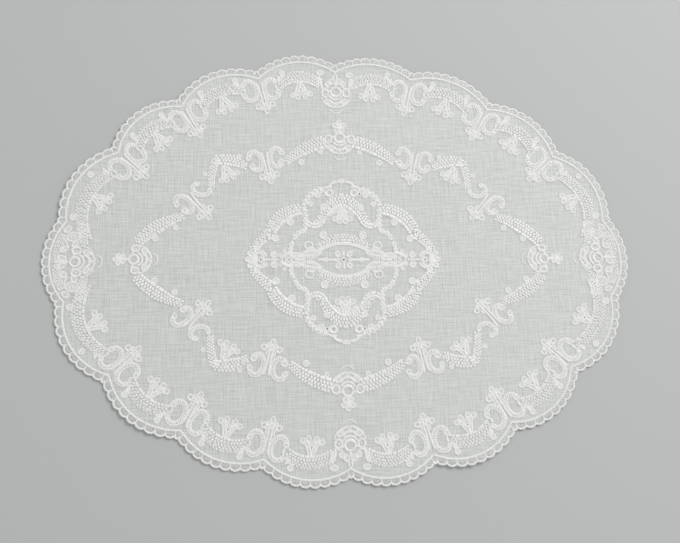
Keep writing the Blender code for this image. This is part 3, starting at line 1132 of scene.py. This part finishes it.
@dataclass(frozen=True)
class MercerisedThread(Finish):
    """Mercerised cotton embroidery thread: bleached, two-ply, with the soft gloss of the lye bath.

    Each stitch is a shade lighter or darker than its neighbour, and the plies' twist catches
    the light close up.
    """

    name = "mercerised_cotton_thread"
    light: str = "#F8F8F5"
    dark: str = "#EFEFEB"
    roughness: float = 0.55
    ior: float = 1.5
    sheen: float = 0.2
    twist: float = 0.5  # millimetres of thread to one turn of its plies

    def surface(self, tree: bpy.types.NodeTree) -> dict:
        """Adds the stitches' shades and the twist of their plies.

        Args:
            tree: the node tree.

        Returns:
            The inputs, by name.
        """
        lay = add_node(tree, "Attribute", {"attribute_name": "lay"}).outputs["Vector"]
        along, around, shade = add_node(tree, "SeparateXYZ", {0: lay}).outputs
        shades = {6: linear(self.dark), 7: linear(self.light)}
        colour = add_node(tree, "Mix", {"data_type": "RGBA", 0: shade, **shades})
        run = sum_of(tree, along, 2 * math.pi / self.twist, around)
        plies = add_node(tree, "Math", {"operation": "SINE", 0: run}).outputs[0]
        return {
            "Roughness": self.roughness,
            "IOR": self.ior,
            "Sheen Weight": self.sheen,
            "Base Color": colour.outputs[2],
            "Normal": bump_of(tree, plies, 0.35, 0.06),
        }


@dataclass(frozen=True)
class PaintedFloor(Finish):
    """Matt painted board: pale grey, rolled, with no gloss."""

    name = "matt_painted_board"
    colour: str = "#BDBEBD"
    roughness: float = 0.95
    grain: float = 900.0

    def surface(self, tree: bpy.types.NodeTree) -> dict:
        """Adds the roller's grain.

        Args:
            tree: the node tree.

        Returns:
            The inputs, by name.
        """
        place = add_node(tree, "TexCoord", {}).outputs["Object"]
        grain = add_node(tree, "TexNoise", {"Scale": self.grain, "Detail": 2.0, "Vector": place}).outputs[0]
        return {
            "Base Color": linear(self.colour),
            "Roughness": self.roughness,
            "Specular IOR Level": 0.2,
            "Normal": bump_of(tree, grain, 0.1, 0.05),
        }


# --- Meshes ---


def mesh_object(
    name: str, points: np.ndarray, faces: np.ndarray, material: bpy.types.Material
) -> bpy.types.Object:
    """An object of faces that all have the same number of corners.

    Args:
        name: the piece's name.
        points: rows of x, y and z, in metres.
        faces: rows of the corners' numbers.
        material: its finish.

    Returns:
        The object, smooth-shaded, in the scene.
    """
    mesh = bpy.data.meshes.new(name)
    mesh.vertices.add(len(points))
    mesh.vertices.foreach_set("co", points.astype(np.float32).ravel())
    mesh.loops.add(faces.size)
    mesh.loops.foreach_set("vertex_index", faces.astype(np.int32).ravel())
    mesh.polygons.add(len(faces))
    mesh.polygons.foreach_set("loop_start", np.arange(0, faces.size, faces.shape[1], dtype=np.int32))
    mesh.polygons.foreach_set("use_smooth", np.ones(len(faces), dtype=bool))
    mesh.update(calc_edges=True)
    mesh.materials.append(material)
    thing = bpy.data.objects.new(name, mesh)
    bpy.context.collection.objects.link(thing)
    return thing


class Section(NamedTuple):
    """One ring of points along a stitch."""

    share: float  # of the stitch's length
    girth: float  # of the thread's width
    rise: float  # of the stitch's crown


SHORT_STITCH = (Section(0.0, 0.8, 0.25), Section(0.5, 1.0, 1.0), Section(1.0, 0.8, 0.25))
LONG_STITCH = (
    Section(0.0, 0.8, 0.25),
    Section(0.28, 1.0, 0.94),
    Section(0.72, 1.0, 1.0),
    Section(1.0, 0.8, 0.25),
)
RING = 4  # points in one ring: crown, right, back and left
LONG = 3.4  # a stitch longer than this has the longer table
LAWN_THICK = 0.24
BACK = 0.12  # how far a stitch stands out of the lawn's back
FLANK_DROP = 0.2  # from a stitch's crown down to its sides, as a share of its width
TINT = 0.5  # the usual shade of a stitch between dark and light, and its usual error
TINT_STRAY = 0.25


def stitch_points(rows: np.ndarray, sections: tuple[Section, ...]) -> np.ndarray:
    """The points of many stitches with the same sections.

    Args:
        rows: the stitches.
        sections: their rings.

    Returns:
        Points in millimetres, by stitch, ring and place in the ring.
    """
    start, run = rows[:, 0:2], rows[:, 2:4] - rows[:, 0:2]
    side = -left_of(run) / np.linalg.norm(run, axis=1, keepdims=True)
    rings = []
    for share, girth, rise in sections:
        middle = start + run * share
        ground = LIE.level(middle[:, 0], middle[:, 1])
        half = (rows[:, 4] * girth / 2)[:, None]
        crown = ground + LAWN_THICK / 2 + rows[:, 5] * rise
        flank = np.maximum(crown - rows[:, 4] * girth * FLANK_DROP, ground)
        back = ground - LAWN_THICK / 2 - BACK * rise
        right, left = middle + side * half, middle - side * half
        places = ((middle, crown), (right, flank), (middle, back), (left, flank))
        rings.append(np.stack([np.column_stack(place) for place in places], axis=1))
    return np.stack(rings, axis=1)


def stitch_faces(count: int, rings: int, first: int) -> np.ndarray:
    """The four-cornered faces of many stitches.

    Args:
        count: how many stitches.
        rings: how many rings each has.
        first: the number of their first point.

    Returns:
        Rows of corner numbers, turned outwards.
    """
    one = [[3, 2, 1, 0]]
    for low in range(0, RING * (rings - 1), RING):
        for here in range(RING):
            there = (here + 1) % RING
            one.append([low + here, low + there, low + RING + there, low + RING + here])
    last = RING * (rings - 1)
    one.append([last, last + 1, last + 2, last + 3])
    starts = first + np.arange(count) * RING * rings
    return (starts[:, None, None] + np.array(one)[None]).reshape(-1, len(one[0]))


@dataclass
class ThreadPiece:
    """One piece of embroidery: a table of stitches as real threads."""

    name: str
    work: Work
    finish: bpy.types.Material
    pulled: bool = True  # whether it follows the cloth's slight pull

    def build(self) -> bpy.types.Object:
        """Makes the threads.

        Returns:
            The piece.
        """
        rows = self.work.table()
        for ends in (slice(0, 2), slice(2, 4)):
            rows[:, ends] = (LIE.pulled(rows[:, ends]) if self.pulled else rows[:, ends]) - MIDDLE
        lengths = np.linalg.norm(rows[:, 2:4] - rows[:, 0:2], axis=1)
        chance = np.random.default_rng(SEED + len(rows))
        points, faces, lay, first = [], [], [], 0
        for chosen, sections in ((lengths <= LONG, SHORT_STITCH), (lengths > LONG, LONG_STITCH)):
            group = rows[chosen]
            placed = stitch_points(group, sections)
            faces.append(stitch_faces(len(group), len(sections), first))
            marks = np.zeros(placed.shape)  # each point's way along its stitch and round it, and its shade
            shares = np.array([section.share for section in sections])
            marks[..., 0] = (lengths[chosen][:, None] * shares)[:, :, None]
            marks[..., 1] = np.arange(RING) * math.pi / 2
            marks[..., 2] = np.clip(chance.normal(TINT, TINT_STRAY, len(group)), 0, 1)[:, None, None]
            points.append(placed.reshape(-1, 3))
            lay.append(marks.reshape(-1, 3))
            first += placed.size // 3
        piece = mesh_object(self.name, np.vstack(points) * MM, np.vstack(faces), self.finish)
        mark = piece.data.attributes.new("lay", "FLOAT_VECTOR", "POINT")
        mark.data.foreach_set("vector", np.vstack(lay).astype(np.float32).ravel())
        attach(piece, "root")
        LOG.info("%s: %d stitches, %d triangles", self.name, len(rows), 2 * len(piece.data.polygons))
        return piece


def inside(points: np.ndarray, loop: np.ndarray) -> np.ndarray:
    """Which points lie inside a closed line.

    Args:
        points: rows of x and y.
        loop: the line's points.

    Returns:
        One truth value for each point.
    """
    found = np.zeros(len(points), dtype=bool)
    x, y = points[:, 0], points[:, 1]
    for (ax, ay), (bx, by) in zip(loop, np.roll(loop, -1, axis=0)):
        if ay != by:
            found ^= ((ay > y) != (by > y)) & (x < ax + (y - ay) / (by - ay) * (bx - ax))
    return found


def rim_of(faces: np.ndarray) -> np.ndarray:
    """The sides that only one triangle has, in order of their first corner.

    Args:
        faces: the triangles.

    Returns:
        Rows of two corner numbers.
    """
    sides = np.vstack([faces[:, [0, 1]], faces[:, [1, 2]], faces[:, [2, 0]]])
    known = {(int(p), int(q)) for p, q in sides}
    rim = np.array([(p, q) for p, q in known if (q, p) not in known])
    return rim[np.lexsort((rim[:, 1], rim[:, 0]))]


@dataclass
class Lawn:
    """The sheer ground, cut along the picots and pierced at the eyelets."""

    finish: bpy.types.Material
    holes: list[tuple[float, ...]]
    grid: float = 4.0
    grid_start: float = 2.0  # from the outline's box to the first row
    picot_steps: int = 8
    hole_sides: int = 10
    hole_reach: float = 0.9  # how near a hole's edge, squared, a triangle's middle may come
    rail_offsets: Pair = (0.3, 0.9)  # from the cord; the lawn is drawn open outside these
    snap: float = 1e-6
    size: Pair = (0.0, 0.0)  # of the flat cloth, as build finds it, in metres
    area: float = 0.0

    def loops(self) -> list[np.ndarray]:
        """Charts the closed lines that the cloth is divided along.

        Returns:
            Its edge, the rails beside the cord and the eyelets.
        """
        loops = [EDGE.outline(self.picot_steps, EDGE.hem) - MIDDLE]
        loops += [EDGE.rail(offset) - MIDDLE for offset in self.rail_offsets]
        turns = np.arange(self.hole_sides) * 2 * np.pi / self.hole_sides
        for x, y, wide, tall in self.holes:
            centre = LIE.pulled(np.array([[x, y]]))[0] - MIDDLE
            loops.append(centre + np.stack([wide * np.cos(turns), tall * np.sin(turns)], axis=1))
        return loops

    def cut(self, loops: list[np.ndarray]) -> tuple[np.ndarray, np.ndarray]:
        """Cuts the flat cloth, and measures it.

        Args:
            loops: its closed lines.

        Returns:
            Its points, and its triangles turned upwards.
        """
        edges, start = [], 0
        for loop in loops:
            edges += [(start + i, start + (i + 1) % len(loop)) for i in range(len(loop))]
            start += len(loop)
        box = np.abs(loops[0]).max(axis=0)
        spans = [np.arange(-reach + self.grid_start, reach, self.grid) for reach in box]
        filler = np.stack(np.meshgrid(*spans), axis=-1).reshape(-1, 2)
        flat = np.vstack([*loops, filler[inside(filler, loops[1])]])
        found = delaunay_2d_cdt([Vector(p) for p in flat], edges, [], 1, self.snap)
        points = np.array([tuple(p) for p in found[0]])
        faces = np.array([tuple(face) for face in found[2] if len(face) == 3])
        centres, kept = points[faces].mean(axis=1), np.ones(len(faces), dtype=bool)
        for loop in loops[1 + len(self.rail_offsets) :]:
            size = np.ptp(loop, axis=0) / 2
            kept &= (((centres - loop.mean(axis=0)) / size) ** 2).sum(axis=1) > self.hole_reach
        faces = faces[kept]
        a, b, c = (points[faces[:, k]] for k in range(3))
        doubled = (b[:, 0] - a[:, 0]) * (c[:, 1] - a[:, 1]) - (b[:, 1] - a[:, 1]) * (c[:, 0] - a[:, 0])
        faces[doubled < 0] = faces[doubled < 0][:, ::-1]
        self.area = float(0.5 * np.abs(doubled).sum()) * MM**2
        self.size = tuple(float(s) * MM for s in np.ptp(loops[0], axis=0))
        used = np.unique(faces)
        number = np.full(len(points), -1)
        number[used] = np.arange(len(used))
        return points[used], number[faces]

    def build(self) -> bpy.types.Object:
        """Makes the sheet.

        Returns:
            The piece.
        """
        loops = self.loops()
        points, faces = self.cut(loops)
        drawn = ~inside(points, (loops[1] + loops[2]) / 2)
        level, below = LIE.level(points[:, 0], points[:, 1]), len(points)
        both = [np.column_stack([points, level + side * LAWN_THICK / 2]) for side in (1, -1)]
        here, there = rim_of(faces).T
        walls = [(here, here + below, there + below), (here, there + below, there)]
        whole = np.vstack([faces, faces[:, ::-1] + below, *(np.column_stack(wall) for wall in walls)])
        piece = mesh_object("lawn", np.vstack(both) * MM, whole, self.finish)
        mark = piece.data.attributes.new("drawn", "FLOAT", "POINT")
        mark.data.foreach_set("value", np.tile(drawn, 2).astype(np.float32))
        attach(piece, "root")
        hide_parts("doily")
        LOG.info("lawn: %d triangles, %.4f square metres, %d eyelets", len(whole), self.area, len(self.holes))
        return piece


# --- Border: x along the chord from its middle, y outwards from the chord ---

# Rows of bars from a band's inner side to its outer side: a firm rim, a net, and teeth.
LATTICE = (
    Bars(0.0, 0.26, -0.4, 4),
    Bars(0.22, 0.48, 0.8, 3, 0.5),
    Bars(0.44, 0.68, -0.8, 3),
    Bars(0.64, 0.86, 0.8, 3, 0.5),
    Bars(0.80, 1.0, -0.3, 3),
)
HOLED = (
    Bars(0.0, 0.30, 0.4, 4),
    Bars(0.26, 0.56, -0.8, 3, 0.5),
    Bars(0.50, 0.80, 0.8, 3),
    Bars(0.74, 1.0, -0.3, 3, 0.5),
)
DENSE = (Bars(0.0, 0.52, 0.4, 4), Bars(0.48, 1.0, -0.4, 4, 0.5))
ARCADE = (
    Bars(0.0, 0.24, 0.0, 5),
    Bars(0.20, 0.52, 0.5, 3),
    Bars(0.48, 0.80, -0.5, 3, 0.5),
    Bars(0.76, 1.0, 0.0, 3),
)

BORDER_SCROLL = Put(Scroll(6.6, 8.6, closed=True), 19.8, -8.6, 82.0)
SHOULDER = (Line((14.4, 0.8), (14.0, -4.8), -0.5, 0.7), Put(Lobe(1.6, 2.0), 13.2, -1.2, 60.0))
BUD = (Put(Bud(2.5), 13.2, 2.6), Line((10.6, 0.4), (14.8, -0.6), 0.3, 0.6))

USUAL_BAND = Band((-15.8, -6.6), (15.8, -6.6), 5.6, (3.9, 5.1, 3.9), LATTICE, 2.2, 0.46, 0.48)
POLE_BAND = Band((-17.0, -8.4), (14.6, -6.2), 5.8, (4.2, 5.0, 3.9), LATTICE, 2.2, 0.46, 0.48)
SIDE_BAND = Band((-15.4, -6.4), (32.4, -19.8), 10.6, (3.8, 4.8, 4.2), LATTICE, 2.2, 0.46, 0.48)

# What closes the band towards a rosette on the short axis, and towards one on the long axis.
POLE_END = (
    Put(Lobe(2.4, 3.2), -18.0, 0.2, 5.0),
    Line((-16.2, -2.2), (-17.4, -12.4), -0.6, 1.0),
    Line((-14.6, -2.6), (-15.6, -10.4), -0.5, 0.8),
)
SIDE_END = (Put(Bud(2.6), -6.0, 4.9), Put(Bud(2.6), 24.0, -3.2))

POLE_ROSETTE = (
    Put(Rosette(), 0.0, 15.0),
    Dot((0.0, 0.9), (0.9, 0.8)),
    *paired(
        Line((1.0, 1.4), (1.1, 5.2), 0.0, 0.6),
        Put(Lobe(2.6, 2.9), 2.4, 6.9, 70.0),
        Put(Lobe(2.4, 2.6), 5.4, 8.8, 40.0),
        Line((4.6, 10.6), (9.4, 12.4), 0.8, 0.6),
    ),
    Dot((0.0, 9.2), (1.6, 1.8)),
)


class Leaf(NamedTuple):
    """One leaf of the palmette round a rosette on the long axis."""

    across: float
    inwards: float
    heading: float
    half_length: float
    half_width: float


PALMETTE = (
    Leaf(2.6, -1.9, 110.0, 3.6, 2.2),
    Leaf(8.6, -0.6, 60.0, 3.0, 2.5),
    Leaf(17.0, 5.2, 84.0, 5.2, 3.7),
    Leaf(22.0, 1.2, 60.0, 3.2, 2.4),
    Leaf(11.8, 6.4, 40.0, 3.0, 2.3),
)
SIDE_ROSETTE = (
    Put(Rosette(ring=3.2, loop_aside=7.6, loop=2.3, reach=13.2, crescent=11.2), 0.0, 6.4),
    *paired(
        *(Put(Lobe(leaf.half_width, leaf.half_length, 0.6, 0.9), *leaf[:3]) for leaf in PALMETTE),
        Band((4.4, -5.0), (19.4, -0.9), -0.8, (2.8, 3.3, 1.9), LATTICE, 2.0, 0.44, 0.46),
        Band((27.0, 11.2), (10.4, 13.0), 1.0, (3.8, 3.4, 2.4), LATTICE, 2.1, 0.44, 0.46),
        Ring((2.9, -5.2), (1.3, 1.3), 0.5),
        Line((9.6, 2.2), (15.6, 0.2), -0.4, 0.6),
    ),
    Line((0.0, -6.8), (0.0, 2.4), 0.0, 1.0),
)


class Stretch(NamedTuple):
    """What a scallop holds, by what its cusps hold besides scrolls."""

    band: Band
    beside: tuple[Motif, ...]
    floret_at: Pair


STRETCHES = {
    SCROLLS: Stretch(USUAL_BAND, paired(BORDER_SCROLL, *SHOULDER, *BUD), (0.0, -10.8)),
    ROSETTE: Stretch(
        POLE_BAND,
        (BORDER_SCROLL, *SHOULDER, *(Put(part, -2.3, 0.2) for part in BUD), *POLE_END),
        (-1.6, -11.0),
    ),
    SIDE: Stretch(SIDE_BAND, (*flipped(BORDER_SCROLL, *SHOULDER), *SIDE_END), (5.2, -10.4)),
}


@dataclass
class Border:
    """The scalloped border: bands, scrolls, florets, cusp flowers and rosettes."""

    names: tuple[str, ...] = ("border_bands", "border_scrolls", "border_flowers", "border_rosettes")
    turned: tuple[tuple[Meeting, Meeting], ...] = ((SCROLLS, ROSETTE), (SIDE, SCROLLS))
    flower_from_cusp: float = 11.7
    floret_size: float = 1.06
    cusp_seed: int = SEED + 1000
    seed_step: int = 20  # from one scallop or cusp to the next

    def chart(self) -> dict[str, Work]:
        """Charts the whole border.

        Returns:
            The work of each of its pieces, by name.
        """
        bands, scrolls, flowers, rosettes = works = [Work() for _ in self.names]
        for i, scallop in enumerate(SCALLOPS):
            seed, ends = SEED + self.seed_step * i, scallop.meetings
            if ends == (SIDE, SIDE):
                place = (scallop.along, -scallop.outwards, scallop.middle)
                rosettes.join(sewn(SIDE_ROSETTE, seed).placed(*place))
                continue
            stretch = STRETCHES[ends[1] if ends[0] is SCROLLS else ends[0]]
            floret = Put(Floret(), *stretch.floret_at, -90.0, self.floret_size)
            axes = scallop.frame(ends in self.turned)
            bands.join(sewn((stretch.band,), seed).placed(*axes))
            scrolls.join(sewn(stretch.beside, seed + 1).placed(*axes))
            flowers.join(sewn((floret,), seed + 2).placed(*axes))
        for i, cusp in enumerate(CUSPS):
            seed, before, after = self.cusp_seed + self.seed_step * i, SCALLOPS[i - 1], SCALLOPS[i]
            inwards = -(before.outwards + after.outwards)
            inwards /= np.linalg.norm(inwards)
            place = (left_of(inwards), inwards, cusp[:2])
            if cusp.meeting is SCROLLS:
                set_out = (before.set_out + after.set_out) / 2
                flower = Put(Trefoil(), 0.0, self.flower_from_cusp - set_out)
                flowers.join(sewn((flower,), seed).placed(*place))
            elif cusp.meeting is ROSETTE:
                rosettes.join(sewn(POLE_ROSETTE, seed).placed(*place))
        return dict(zip(self.names, works))


# --- Garland and medallion: what stands in one quarter, from the pattern's centre ---

PATTERN_CENTRE = (-0.2, -0.8)
PATTERN_LEAN = -0.010  # how far the cloth is pulled askew: fall of the long axis over its run
GARLAND_SCROLL = Scroll(wide=5.7, tall=8.0, gap=2.6, start=146.0, sweep=-288.0, head=2.2, foot=2.5)
GARLAND_FLOWER = Trefoil(aside=5.2)

GARLAND_QUARTER = (
    Band((9.2, 85.2), (38.4, 69.4), 2.4, (5.2, 4.9, 2.6), HOLED, 2.2),
    Put(Bud(2.6), 27.2, 69.8),
    Put(Bud(2.0), 13.6, 77.4),
    Put(GARLAND_SCROLL, 44.3, 73.4, 86.0),
    Put(GARLAND_SCROLL, 59.3, 70.3, 74.0, flip=True),
    Put(GARLAND_FLOWER, 51.6, 69.9, -102.3),
    Band((64.4, 65.6), (87.6, 70.4), 2.6, (2.4, 4.6, 3.6), HOLED, 2.2),
    Put(Bud(1.9), 70.0, 74.0),
    Band((86.0, 71.8), (89.0, 50.6), 1.2, (3.2, 2.8, 2.2), HOLED, 2.1),
    Put(Bud(1.9), 93.6, 60.6),
    Put(Floret(above=5.2), 79.0, 62.3, -118.0),
    Put(Scroll(wide=5.2, tall=6.9, gap=2.2, start=140.0, sweep=-258.0, foot=1.3), 96.2, 49.6, 14.0),
    Put(GARLAND_SCROLL, 107.6, 38.7, 44.0, flip=True),
    Put(GARLAND_FLOWER, 100.2, 40.6, 229.0, 0.98),
    Band((107.1, 30.3), (138.2, 10.9), 2.8, (2.4, 5.0, 4.0), HOLED, 2.2),
    Put(Bud(2.4), 112.6, 22.2),
    Put(Bud(2.5), 125.9, 14.4),
)
GARLAND_SHORT_AXIS = (
    Put(Rosette(loop_aside=8.0), 0.0, 88.2, -90.0),
    Put(Posy(3.1, 2.3), 0.0, 96.6, 90.0),
    Line((0.0, 91.0), (0.0, 94.0), 0.0, 1.2),
)
GARLAND_LONG_AXIS = (
    Put(Rosette(ring=3.3, loop_aside=8.0, loop=2.1), 139.6, 0.0, 180.0, 0.95),
    Put(Posy(2.7, 2.0), 148.8, 0.0, 0.0),
    Line((142.6, 0.0), (146.4, 0.0), 0.0, 1.1),
)

MEDALLION_QUARTER = (
    # outer frame, from the short axis to the tip of the long one
    Line((2.6, 55.4), (8.8, 51.2), 1.6, 1.1),
    Ring((8.6, 47.5), (2.3, 2.3), 1.0),
    Line((6.2, 51.6), (12.2, 50.4), 1.0, 0.9),
    Braid((11.4, 50.2), (26.6, 37.8), 3.2, 1.9),
    Ring((12.6, 46.9), (1.2, 1.2), 0.5, hole=True),
    Put(Bud(2.6), 16.6, 46.0),
    Put(Bud(2.3), 21.8, 39.6),
    Band((27.6, 35.8), (49.6, 19.8), 3.9, (4.2, 5.2, 4.4), HOLED, 2.1),
    Band((48.5, 19.6), (62.3, 6.0), 0.8, (4.4, 3.4, 2.8), HOLED, 2.1),
    Put(Bud(2.9), 36.0, 26.4),
    Put(Bud(2.9), 46.2, 14.8),
    # inner frame, which steps down to the long axis
    Braid((26.4, 37.8), (25.6, 20.8), -0.6, 1.7),
    Braid((24.7, 20.4), (33.7, 13.6), 2.2, 1.6),
    Braid((33.7, 13.3), (35.3, 4.0), 1.3, 1.3),
    Line((34.6, 4.8), (43.2, 0.8), 1.2, 1.2),
    Put(Bud(1.7), 40.4, 6.2),
    Put(Bud(2.8), 47.4, 3.4),
    Put(Bud(1.6), 43.0, 3.2),
    # the ends of the arch, and the bud beside it
    Put(Bud(2.4), 13.0, 37.6),
    Band((13.2, 27.8), (24.8, 26.4), -3.4, (2.0, 2.3, 2.0), DENSE, 1.9),
    Ring((18.0, 26.4), (1.4, 1.3), 0.6),
    # lower arch, spiral and leaves along the long axis
    Put(Bud(3.2), 13.6, 17.2),
    Satin(arc((2.8, 2.5), 250.0, -330.0, centre=(23.6, 10.0)), 0.6),
    Line((24.2, 7.8), (19.4, 7.4), -0.8, 0.8),
    Put(OpenLeaf(15.4, 3.1), 15.0, 5.2, -9.0),
    Put(OpenLeaf(9.4, 1.8), 27.4, 3.4, -4.0),
    Put(Lobe(2.3, 2.9, 0.7), 3.9, 3.9, 45.0),
)
MEDALLION_SHORT_AXIS = (
    Put(Lobe(1.9, 3.4, 0.8), 0.0, 56.2, 0.0),
    Band((-15.6, 27.4), (15.6, 27.4), 14.6, (3.2, 5.4, 3.2), HOLED, 2.1),
    Band((-8.4, 31.0), (8.4, 31.0), 4.8, (1.0, 2.4, 1.0), LATTICE, 2.1),
    Put(Floret(above=4.4, below=3.6, foot=3.6), 0.0, 32.6, -90.0, 1.05),
    Band((-18.2, 8.4), (18.2, 8.4), 6.4, (2.2, 3.9, 2.2), ARCADE, 2.2),
    Line((-17.0, 5.6), (17.0, 5.6), 5.4, 0.8),
    Line((0.0, 1.8), (0.0, 6.2), 0.0, 0.9),
)
MEDALLION_LONG_AXIS = (
    *(Ring((x, side * 1.5), (1.1, 1.1), 0.5) for x in (35.6, 38.8) for side in (-1, 1)),
    Dot((41.8, 0.0), (1.0, 0.9)),
    Line((43.6, 0.0), (54.6, 0.0), 0.0, 0.7),
    Ring((56.2, 0.0), (1.2, 1.7), 0.7, hole=True),
    Ring((57.4, 0.0), (3.4, 4.6), 0.8),
    *(Line((52.4, side * 1.8), (56.6, side * 5.8), side * 1.0, 0.8) for side in (-1, 1)),
    Dot((60.6, 0.0), (2.8, 4.4)),
    Put(Lobe(2.4, 3.3, 0.8), 64.2, 0.0, 0.0),
    *(Put(Lobe(2.4, 3.3, 0.8), 62.8, side * 3.8, side * 32.0) for side in (-1, 1)),
    *(Put(Lobe(2.4, 3.4, 0.8), 58.8, side * 6.6, side * 70.0) for side in (-1, 1)),
    Line((5.6, 0.0), (17.6, 0.0), 0.0, 0.8),
    Put(Bud(2.1), 12.3, 0.0),
    Line((26.0, 0.0), (33.4, 0.0), 0.0, 0.9),
    Put(Lobe(1.6, 2.4, 0.6), 4.8, 0.0, 0.0),
)


@dataclass
class Inner:
    """A part of the pattern that is mirrored about both axes of the oval."""

    name: str
    seed: int
    quarter: tuple[Motif, ...]
    short_axis: tuple[Motif, ...]
    long_axis: tuple[Motif, ...]
    centre: tuple[Motif, ...] = ()

    def chart(self) -> dict[str, Work]:
        """Charts the part.

        Returns:
            Its work, by its name.
        """
        work = sewn(self.quarter, self.seed, Axis.BOTH)
        work.join(sewn(self.short_axis, self.seed + 1, Axis.LEVEL))
        work.join(sewn(self.long_axis, self.seed + 2, Axis.UPRIGHT))
        work.join(sewn(self.centre, self.seed + 3))
        return {self.name: work.placed((1.0, PATTERN_LEAN), (0.0, 1.0), PATTERN_CENTRE)}


GARLAND = Inner("garland", SEED + 2000, GARLAND_QUARTER, GARLAND_SHORT_AXIS, GARLAND_LONG_AXIS)
MEDALLION = Inner(
    "medallion",
    SEED + 3000,
    MEDALLION_QUARTER,
    MEDALLION_SHORT_AXIS,
    MEDALLION_LONG_AXIS,
    (Ring((0.0, 0.0), (1.5, 1.5), 0.6, hole=True),),
)


@dataclass
class EdgeWork:
    """The satin cord along the scallops and the picots outside it."""

    finish: bpy.types.Material
    arc_steps: int = 12
    loop_steps: int = 10
    cord_slant: float = 0.35
    picot_slant: float = 0.1
    leg_start: float = 0.3  # from the cord's middle to the leg between two picots
    leg_half_width: float = 0.6  # as a share of the picots'

    def build(self) -> list[bpy.types.Object]:
        """Makes the cord and the picots.

        Returns:
            The two pieces.
        """
        cord, picots = Work(SEED + 1), Work(SEED + 2)
        leg_offsets = (self.leg_start, EDGE.valley - EDGE.thread_line)
        leg_half = self.leg_half_width * EDGE.picot_half_width
        for scallop in SCALLOPS:
            line = np.array([scallop.on_arc(i / self.arc_steps) for i in range(self.arc_steps + 1)])
            self.lay_line(cord, line, EDGE.cord_half_width, self.cord_slant)
            for dip in EDGE.dips():
                leg = np.array([scallop.on_arc(dip, offset) for offset in leg_offsets])
                self.lay_line(picots, leg, leg_half, self.picot_slant)
        for loop in EDGE.loops(self.loop_steps, EDGE.thread_line):
            self.lay_line(picots, loop, EDGE.picot_half_width, self.picot_slant)
        works = {"edge_cord": cord, "picots": picots}
        return [ThreadPiece(name, work, self.finish, pulled=False).build() for name, work in works.items()]

    def lay_line(self, work: Work, line: np.ndarray, half_width: float, slant: float) -> None:
        """Covers a line with satin stitches of one width.

        Args:
            work: the chart that takes them.
            line: the line's points.
            half_width: half of the stitches' reach.
            slant: how far they lean along the line, as a share of that.
        """
        route = Route(line, SATIN_PITCH)
        middle, lean = route.at(route.shares), route.leans(route.shares, slant)
        work.lay(middle - lean * half_width, middle + lean * half_width)


# --- Room ---


@dataclass
class Room:
    """The plain floor, the soft light and the camera."""

    place: tuple[float, float, float] = (-58.83, -141.9, 556.62)  # of the camera, in the charts' frame
    aim: tuple[float, float, float] = (-2.52, -9.05, 0.7)
    right: tuple[float, float, float] = (0.99514, -0.03216, 0.09312)
    lens: float = 45.0
    film: float = 36.0
    nearest: float = 0.01  # what the camera still sees, in metres, as are the floor and the light
    floor_size: float = 6.0
    light_place: tuple[float, float, float] = (1.1, 0.95, 1.25)
    light_size: float = 1.0
    light_power: float = 22.0
    light_colour: str = "#FFFFFF"
    sky_colour: str = "#F2F3F4"
    sky_strength: float = 0.67

    def build(self) -> None:
        """Makes the floor, the lights and the camera."""
        half = self.floor_size / 2
        corners = np.array([(-half, -half, 0), (half, -half, 0), (half, half, 0), (-half, half, 0)])
        floor = mesh_object("floor", corners, np.array([[0, 1, 2, 3]]), PaintedFloor().make())
        self.light()
        self.camera()

    def light(self) -> None:
        """One large soft light from the upper right, and a pale sky all round."""
        lamp = bpy.data.lights.new("soft_box", "AREA")
        lamp.shape = "SQUARE"
        lamp.size = self.light_size
        lamp.energy = self.light_power
        lamp.color = linear(self.light_colour)[:3]
        box = bpy.data.objects.new("soft_box", lamp)
        box.location = self.light_place
        box.rotation_euler = (-Vector(self.light_place)).to_track_quat("-Z", "Y").to_euler()
        bpy.context.collection.objects.link(box)
        world = bpy.data.worlds.new("pale_room")
        world.use_nodes = True
        tree = world.node_tree
        tree.nodes.clear()
        sky = {"Color": linear(self.sky_colour), "Strength": self.sky_strength}
        add_node(tree, "OutputWorld", {"Surface": add_node(tree, "Background", sky).outputs[0]})
        bpy.context.scene.world = world

    def camera(self) -> None:
        """The camera, a little in front of the doily and tilted down at it."""
        lens = bpy.data.cameras.new("camera")
        lens.lens = self.lens
        lens.sensor_width = self.film
        lens.clip_start = self.nearest
        camera = bpy.data.objects.new("camera", lens)
        bpy.context.collection.objects.link(camera)
        back = (Vector(self.place) - Vector(self.aim)).normalized()
        right = Vector(self.right)
        right = (right - back * right.dot(back)).normalized()
        turn = Matrix((right, back.cross(right), back)).transposed().to_4x4()
        spot = (Vector(self.place) - Vector((*MIDDLE, 0.0))) * MM
        camera.matrix_world = Matrix.Translation(spot) @ turn
        bpy.context.scene.camera = camera
        bpy.context.scene.view_settings.view_transform = "Standard"


def main() -> None:
    """Builds the doily and its room."""
    logging.basicConfig(level=logging.INFO, format="%(name)s: %(message)s")
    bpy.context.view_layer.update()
    Room().build()
    thread = MercerisedThread().make()
    charts = {**Border().chart(), **GARLAND.chart(), **MEDALLION.chart()}
    holes = [hole for work in charts.values() for hole in work.holes]
    trimmings = EdgeWork(thread).build()
    trimmings += [ThreadPiece(name, work, thread).build() for name, work in charts.items()]
    lawn = Lawn(CottonLawn().make(), holes)
    sheet = lawn.build()


if __name__ == "__main__":
    main()
